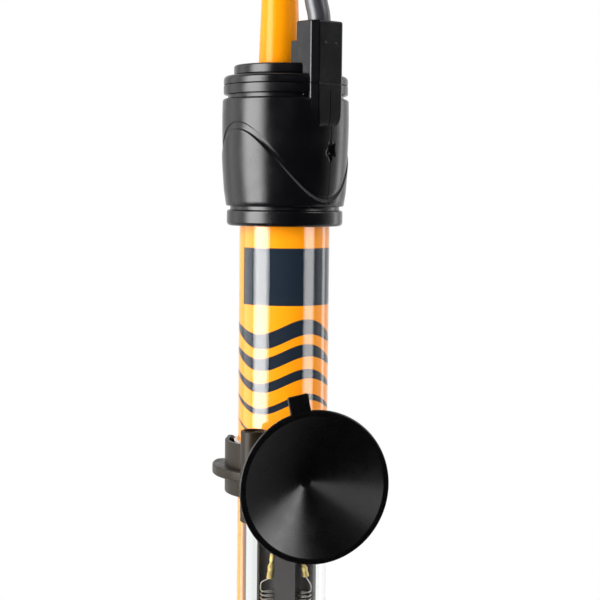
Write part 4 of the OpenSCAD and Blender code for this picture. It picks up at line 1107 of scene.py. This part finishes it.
def dial_shape():
    """The dial plate: a disc with a straight-sided notch for the cable block"""
    radius, half, notch, steps = 14.35, 5.85, 8.1, 140
    start = math.degrees(math.asin(half / radius))
    disc = [(radius * math.sin(math.radians(a)), -radius * math.cos(math.radians(a)))
            for a in (start + (360 - 2 * start) * i / steps for i in range(steps + 1))]
    return slab(disc + [(-half, -notch), (half, -notch)], CAP_Z, DIAL_Z, 0.6)


class HEATER_OT_head(bpy.types.Operator):
    """Head sleeve, cap with its cable block, and dial plate"""
    bl_idname = "heater.head"
    bl_label = "Head"

    def execute(self, context):
        place = at_axis(HEAD_TURN)
        pip_r = 0.5
        pip = moved(lathe([(0, -pip_r)] + arc(0, 0, pip_r, -60, 60, 6) + [(0, pip_r)], 16),
                    Matrix.Rotation(math.radians(-24), 4, "Z")
                    @ Matrix.Translation((0, -16.2, 103.1)))
        shell = joined(head_shape(context.scene.heater_sizes), block_foot(), pip)
        piece("head_shell", shell, "heater_body", "head", ["head_sleeve"], place,
              sharp=30)
        piece("head_cap_shell", cap_shape(), "heater_body", "cap", ["head_cap"],
              place, sharp=30)
        piece("dial_disc", dial_shape(), "heater_body", "cap", ["dial_plate"],
              place)
        return {"FINISHED"}


class HEATER_OT_knob(bpy.types.Operator):
    """Temperature knob, and the finishes of its shaft, clip, nut and seal"""
    bl_idname = "heater.knob"
    bl_label = "Temperature Knob"

    def execute(self, context):
        place = at_axis(HEAD_TURN) @ Matrix.Translation((0, KNOB_OFF, 0))
        foot, top, crown, seat = 5.75, 4.75, 1.6, KNOB_Z + 3
        low, high = KNOB_Z + 0.9, KNOB_TOP - crown
        rows = [(0, seat), (2.1, seat), (4.3, seat), (4.4, KNOB_Z + 0.1), (4.5, KNOB_Z)]
        rows += [(foot - 0.3, KNOB_Z), (foot - 0.09, KNOB_Z + 0.09), (foot, KNOB_Z + 0.3),
                 (foot, low)]
        rows += [(foot + (top - foot) * i / 8, low + (high - low) * i / 8) for i in range(1, 8)]
        rows += arc(top - crown, high, crown, 0, 90, 8) + [(0, KNOB_TOP)]
        piece("turning_knob", lathe(rows, 144), "temperature_knob", "knob",
              ["knob"], place)
        for node, finish in (("adjuster_shaft", "steel"), ("shaft_clip", "steel"),
                             ("adjuster_nut", "brass"), ("shaft_seal", "seal")):
            cad_finish(node, finish)
        return {"FINISHED"}


# ---- Clips and cups ----

def c_outline(r_out, r_in, half, n=96):
    """A C open towards +Y, over half degrees to each side, with round ends"""
    a0, a1 = 90 + half, 450 - half
    middle, cap = (r_out + r_in) / 2, (r_out - r_in) / 2

    def end(a, start):
        return arc(middle * math.cos(math.radians(a)), middle * math.sin(math.radians(a)), cap,
                   start, start + 180, 8)[1:-1]

    return (arc(0, 0, r_out, a0, a1, n) + end(a1, a1)
            + arc(0, 0, r_in, a1, a0, n) + end(a0, a0 + 180))


def post_shape(radius, bore, low, high):
    """A hollow post with rounded rims"""
    edge, chamfer = 0.18, 0.2
    return lathe([(bore, low + chamfer), (bore + edge, low), (radius - edge, low),
                  (radius, low + edge), (radius, high - edge), (radius - edge, high),
                  (bore + edge, high), (bore, high - chamfer)], 64, closed=True)


def cup_plate(half_x):
    """The plate that holds the cup: its neck clicks into a round seat with an open slot above"""
    half_z, seat_r, slot, front, back, steps = 8, 3.68, 3.0, -12.5, -10.9, 40
    a = math.degrees(math.asin(slot / seat_r))
    outline = [(-half_x, -half_z), (half_x, -half_z), (half_x, half_z), (slot, half_z)]
    outline += [(seat_r * math.cos(math.radians(t)), seat_r * math.sin(math.radians(t)))
                for t in (90 - a - (360 - 2 * a) * i / steps for i in range(steps + 1))]
    outline += [(-slot, half_z), (-half_x, half_z)]
    return moved(slab(outline, front, back, 0.25), Matrix.Rotation(math.radians(90), 4, "X"))


def clip_shape(edge):
    """A clip: C-shaped ring with a flange, end beads and pads inside, two hollow posts on arms,
    and the plate for the cup; edge is the rounding of its edges"""
    low, high, axis = CLIP_LOW, CLIP_HIGH, at_axis()
    ring_r, inner_r, gap, flange_r, flange_half = 16.1, 14.8, 52.0, 19.6, 1.35
    parts = [moved(slab(c_outline(ring_r, inner_r, gap), low, high, edge), axis),
             moved(slab(c_outline(flange_r, inner_r + 0.3, gap + 6), -flange_half, flange_half,
                        0.45), axis)]

    bead_r, bead_at = 0.9, 15.9
    bead = lathe([(0, low), (bead_r - edge, low), (bead_r, low + edge), (bead_r, high - edge),
                  (bead_r - edge, high), (0, high)], 24)
    pad = rounded_box((-1.2, 1.2), (-15.2, -13.62), (low + 0.2, high - 0.2), 0.2)
    for a in (math.radians(90 + side * gap) for side in (-1, 1)):
        spot = Matrix.Translation((bead_at * math.cos(a), bead_at * math.sin(a), 0))
        parts.append(moved(bead, axis @ spot))
    parts += [moved(pad, axis @ Matrix.Rotation(math.radians(a), 4, "Z"))
              for a in (-122, -58, 58, 122)]

    post_r, overlap, post_turn, arm_half, plate_y = 3.6, 1.2, math.radians(41), 1.5, 11.5
    at = ring_r + post_r - overlap
    post_x, post_y = at * math.sin(post_turn), AXIS_Y - at * math.cos(post_turn)
    post = moved(post_shape(post_r, 2.8, -11.8, 13.0), Matrix.Translation((0, post_y, 0)))
    arm = rounded_box((-arm_half, arm_half), (plate_y, post_y - 3.0), (-8, 8), edge)
    return joined(cup_plate(post_x + arm_half), *parts, pair(post, post_x), pair(arm, post_x))


def cup_shape():
    """A suction cup with its neck, button and pull tab; the open side faces -Y"""
    # Radius and depth, from the middle of the hollow out to the rim, then back to the button
    face = [(0, 9.05), (0.9, 9.05), (1.5, 9.0), (1.9, 8.78), (2.5, 8.5), (5, 7.36), (8, 5.93),
            (11, 4.42), (14, 2.82), (16.5, 1.44), (18.2, 0.48), (18.75, 0.14), (18.95, 0.02),
            (19.3, 0.0), (20.1, 0.0), (20.38, 0.1), (20.5, 0.36)]
    rear = [(20.45, 0.75), (19.9, 1.15), (18, 2.35), (15, 4.1), (12.3, 5.55), (10, 7.1),
            (8.2, 8.5), (7, 9.5), (6.2, 10.15), (5.9, 10.5), (5.5, 10.6), (3.9, 10.6),
            (3.6, 10.8), (3.6, 12.6), (3.75, 12.8), (4.1, 12.82), (4.42, 12.98), (4.5, 13.3),
            (4.5, 14.1), (4.42, 14.42), (4.1, 14.58), (0, 14.6)]
    tab_lean = -11.5
    cup = moved(lathe(face + rear, 160), Matrix.Rotation(math.radians(-90), 4, "X"))
    tab = moved(rounded_box((-2.8, 2.8), (0.12, 1.35), (19.7, 24.9), 0.35),
                Matrix.Rotation(math.radians(tab_lean), 4, "Y"))
    return joined(cup, tab)


class HEATER_OT_clips(bpy.types.Operator):
    """Clips, grip liners and suction cups"""
    bl_idname = "heater.clips"
    bl_label = "Clips and Suction Cups"

    def execute(self, context):
        clip = clip_shape(context.scene.heater_sizes.edge_round / MM)
        liner = slab(c_outline(13.55, 12.55, 54), CLIP_LOW, CLIP_HIGH, 0.2)
        for side, z in (("upper", 0.0), ("lower", LOWER_Z)):
            place = Matrix.Translation((0, 0, z))
            piece(f"{side}_clip_shell", clip, f"{side}_holder", "clip",
                  [f"{side}_clip"], place, sharp=32)
            piece(f"{side}_cup_skin", cup_shape(), f"{side}_suction_cup", "cup",
                  [f"{side}_cup"], place, sharp=50)
            piece(f"{side}_liner_strip", liner, f"{side}_grip", "liner",
                  [f"{side}_liner"], place @ at_axis())
        return {"FINISHED"}


# ---- Heating element ----

GROOVE_X, GROOVE_Y, GROOVE_R, CORE_R, CORE_OFF = 5.1, -4.2, 2.35, 8.3, 1.5
CORE_TOP, CORE_LOW, COIL_TOP, COIL_LOW, COIL_R = -14.0, -148.0, -33.7, -143.0, 1.8
FERRULE_Y, FEED_TOP = GROOVE_Y - 1.2, CORE_TOP + 9.6

# Foot of each ferrule, its lean in degrees and its length
FERRULES = (((-4.3, FERRULE_Y, COIL_TOP + 3.4), 6.0, 7.0),
            ((5.5, FERRULE_Y, COIL_TOP + 4.2), -11.0, 5.0))


def core_outline():
    """Round core with two slots that leave a rib between them"""
    far = math.hypot(GROOVE_X, GROOVE_Y)
    mouth = math.degrees(math.acos((far ** 2 + CORE_R ** 2 - GROOVE_R ** 2) / (2 * far * CORE_R)))
    right = math.degrees(math.atan2(GROOVE_Y, GROOVE_X)) + mouth
    lip = math.degrees(math.atan2(CORE_R * math.sin(math.radians(right)) - GROOVE_Y,
                                  CORE_R * math.cos(math.radians(right)) - GROOVE_X))
    rib, front = GROOVE_X - GROOVE_R, 0.6 - CORE_R
    points = arc(0, 0, CORE_R, right, 180 - right, 72)
    points += arc(-GROOVE_X, GROOVE_Y, GROOVE_R, 180 - lip, 0, 24)[1:]
    points += [(-rib, front), (rib, front)]
    points += arc(GROOVE_X, GROOVE_Y, GROOVE_R, 180, lip, 24)[:-1]
    return points


def on_ferrule(ferrule, distance):
    """A point on a ferrule's axis, so far from its foot"""
    foot, lean, _ = ferrule
    a = math.radians(lean)
    return Vector(foot) + distance * Vector((math.sin(a), 0, math.cos(a)))


def crimp_shape(length):
    """A ferrule, wide at the coil's end, pinched in two places and narrow round the thick wire"""
    wide, narrow, edge = 0.95, 0.72, 0.15
    # Radius and share of the length
    pinches = [(wide, 0.2), (0.86, 0.27), (0.86, 0.36), (wide, 0.42), (wide, 0.52), (0.6, 0.62),
               (0.55, 0.68), (narrow, 0.73)]
    rows = [(0, 0), (wide - edge, 0), (wide, edge)] + [(r, length * t) for r, t in pinches]
    rows += [(narrow, length - edge), (narrow - 0.12, length), (0, length)]
    return lathe(rows, 32)


def feed_shape():
    """The coils' thin ends into the ferrules, and the thick wires from there up out of the core"""
    left, right = FERRULES
    thin_r, thick_r, out_x = 0.17, 0.55, GROOVE_X + COIL_R
    thin = [[(-out_x, GROOVE_Y, COIL_TOP), (-out_x, GROOVE_Y, COIL_TOP + 1.3),
             (-out_x + 0.4, GROOVE_Y - 0.4, COIL_TOP + 2.2),
             (-out_x + 1.5, FERRULE_Y, COIL_TOP + 3.0), on_ferrule(left, 0.1)],
            [(out_x, GROOVE_Y, COIL_TOP), (out_x, GROOVE_Y, COIL_TOP + 1.3),
             (out_x - 0.4, GROOVE_Y - 0.4, COIL_TOP + 2.4), on_ferrule(right, 0.1)]]
    thick = [[on_ferrule(left, 6.9), (-3.6, FERRULE_Y + 0.2, CORE_TOP - 5),
              (-GROOVE_X, GROOVE_Y, CORE_TOP + 2), (-GROOVE_X, GROOVE_Y, FEED_TOP)],
             [on_ferrule(right, 4.9), (4.3, FERRULE_Y + 0.2, CORE_TOP - 5),
              (GROOVE_X, GROOVE_Y, CORE_TOP + 2), (GROOVE_X, GROOVE_Y, FEED_TOP)]]
    return joined(*(rod(smooth_route(route), thin_r, 8) for route in thin),
                  *(rod(smooth_route(route), thick_r, 12) for route in thick))


def coil_link_shape():
    """The wire under the core that joins the coils"""
    x, low, bend, wire_r = GROOVE_X - COIL_R, CORE_LOW - 1, 0.7, 0.22
    left = [(-x, GROOVE_Y, COIL_LOW), (-x, GROOVE_Y, COIL_LOW - 3.5), (-x, GROOVE_Y, low),
            (bend - x, GROOVE_Y, low - bend)]
    right = [(-x, y, z) for x, y, z in reversed(left)]
    return rod(smooth_route([*left, (0, GROOVE_Y, low - 0.9), *right]), wire_r, 8)


class HEATER_OT_element(bpy.types.Operator):
    """Ceramic core with its coils, wires and pads"""
    bl_idname = "heater.element"
    bl_label = "Heating Element"

    def execute(self, context):
        sizes = context.scene.heater_sizes
        place = at_axis(CORE_TURN) @ Matrix.Translation((CORE_OFF, 0, 0))
        core = slab(core_outline(), CORE_LOW, CORE_TOP, sizes.edge_round / MM)
        piece("ceramic_core", core, "heater_body", "ceramic", ["element_core"], place,
              sharp=30)
        tree, ids = coil_tree()
        high = COIL_TOP - COIL_LOW
        turns = round(high / (sizes.coil_pitch / MM)) + 0.5
        for side, sign in (("left", -1), ("right", 1)):
            mesh = baked(tree, ids, {
                "Radius": COIL_R, "Height": high, "Turns": turns,
                "Wire Radius": sizes.coil_wire / MM, "Material": FINISHES["wire"]},
                f"{side}_coil_wire")
            at_coil = place @ Matrix.Translation((sign * GROOVE_X, GROOVE_Y, COIL_LOW))
            mirror = Matrix.Scale(-sign, 4, (1, 0, 0))
            piece(f"{side}_coil_wire", mesh, "heater_body", "wire",
                  [f"{side}_coil"], at_coil @ mirror, sharp=60)
        piece("feed_leads", feed_shape(), "heater_body", "tinned",
              ["feed_wires"], place)
        crimps = [moved(crimp_shape(length), Matrix.Translation(foot)
                        @ Matrix.Rotation(math.radians(lean), 4, "Y"))
                  for foot, lean, length in FERRULES]
        piece("crimps", joined(*crimps), "heater_body", "brass", ["crimp_ferrules"],
              place)
        piece("coil_bridge", coil_link_shape(), "heater_body", "wire",
              ["coil_link"], place)
        cad_finish("core_pad", "pad")
        cad_finish("heat_shields", "mica")
        return {"FINISHED"}


# ---- Bottom cap and what is inside the head ----

def foot_cap_shape():
    """The bottom cap: a sleeve with a round end and two grooves"""
    cap_r, cap_edge, low, top, groove, corner = 14.4, 5, -172.0, -150.0, 0.55, 8
    rows = [(0, low)] + arc(cap_r - cap_edge, low + cap_edge, cap_edge, -90, 0, 12)
    for z in (top - 9, top - 5):
        rows += [(cap_r, z), (cap_r - groove, z + 0.4), (cap_r - groove, z + 1), (cap_r, z + 1.4)]
    rows += [(cap_r, top - 0.8), (cap_r - 0.25, top - 0.22), (cap_r - 0.8, top), (SOCKET_R, top)]
    rows += [(SOCKET_R, TUBE_LOW + corner)]
    rows += arc(SOCKET_R - corner, TUBE_LOW + corner, corner, 0, -90, 10) + [(0, TUBE_LOW - 0.1)]
    return lathe(rows, 120)


def wire_routes():
    """Routes of the live and the neutral wire, from the end of the lead down the tube. The first
    points of one mirror those of the other"""
    start = [(1.2, -14.1, 111.8), (1.2, -14.1, 109.2), (1.25, -13.7, 107.9),
             (1.4, -12.6, 107.25), (1.6, -10.4, 107.15), (1.8, -8.6, 106.5),
             (2.6, -7, 105.8), (3.8, -5.2, 104.3), (4.9, -3.5, 103.1),
             (5.2, -3, 101.9), (5.2, -3, 98), (5.2, -3, 88)]
    contact_z = 55.0
    live = start + [(5.2, -3, 76), (4.2, -3, 68), (2.8, -3.05, contact_z + 7),
                    (2.2, -3.1, contact_z + 2.6)]
    feed_end = (Matrix.Rotation(math.radians(CORE_TURN - HEAD_TURN), 3, "Z")
                @ Vector((CORE_OFF - GROOVE_X, GROOVE_Y, FEED_TOP + 0.3)))
    neutral = [(-x, y, z) for x, y, z in start]
    neutral += [(-5.6, -2.6, 80), (-8.2, -1, 70), (-9, -0.5, 58), (-9, -0.5, 30), (-9, -0.5, 8),
                (-8.2, -0.5, 2), (-6.6, -0.5, -1.2), tuple(feed_end)]
    return live, neutral


class HEATER_OT_inside(bpy.types.Operator):
    """Bottom cap, thermostat, wires and seals"""
    bl_idname = "heater.inside"
    bl_label = "Bottom Cap and Thermostat"

    def execute(self, context):
        piece("foot_cap", foot_cap_shape(), "heater_body", "head",
              ["bottom_cap"], at_axis())
        wire_r, place = 0.7, at_axis(HEAD_TURN)
        live, neutral = wire_routes()
        for name, node, route, finish, slot in (
                ("live_core", "live_wire", live, "brown", "wire_brown"),
                ("neutral_core", "neutral_wire", neutral, "blue", "wire_blue")):
            piece(name, rod(smooth_route(route, 3), wire_r, 12), "heater_body", finish,
                  [node], place)
        for node, finish in (
                ("tube_stopper", "stopper"), ("tube_seals", "seal"),
                ("thermostat_frame", "frame"), ("fixed_contact", "brass"),
                ("snap_magnet", "magnet"), ("indicator_lamp", "lamp"),
                ("lamp_resistor", "resistor"), ("suppressor_capacitor", "capacitor"),
                ("strip_clamp", "brass"), ("bimetal_strip", "bimetal"),
                ("moving_contact", "silver")):
            cad_finish(node, finish)
        return {"FINISHED"}


# ---- Panel and running order ----

ORDER = [HEATER_OT_camera, HEATER_OT_lead, HEATER_OT_tube, HEATER_OT_head, HEATER_OT_knob,
         HEATER_OT_clips, HEATER_OT_element, HEATER_OT_inside, HEATER_OT_stage]


class HEATER_PT_panel(bpy.types.Panel):
    """Sizes, colours and pieces of the heater"""
    bl_idname = "HEATER_PT_panel"
    bl_label = "Aquarium Heater"
    bl_space_type = "VIEW_3D"
    bl_region_type = "UI"
    bl_category = "Heater"

    def draw(self, context):
        for group in (context.scene.heater_sizes, context.scene.heater_colours):
            box = self.layout.box()
            for name in type(group).__annotations__:
                box.prop(group, name)
        for operator in ORDER:
            self.layout.operator(operator.bl_idname)


CLASSES = [HeaterSizes, HeaterColours, *ORDER, HEATER_PT_panel]


def register():
    for cls in CLASSES:
        bpy.utils.register_class(cls)
    bpy.types.Scene.heater_sizes = bpy.props.PointerProperty(type=HeaterSizes)
    bpy.types.Scene.heater_colours = bpy.props.PointerProperty(type=HeaterColours)


def unregister():
    del bpy.types.Scene.heater_sizes
    del bpy.types.Scene.heater_colours
    for cls in reversed(CLASSES):
        bpy.utils.unregister_class(cls)


def main():
    register()
    make_finishes()
    for operator in ORDER:
        group, name = operator.bl_idname.split(".")
        if getattr(getattr(bpy.ops, group), name)() != {"FINISHED"}:
            raise RuntimeError(f"{operator.bl_label} did not finish")


if __name__ == "__main__":
    main()
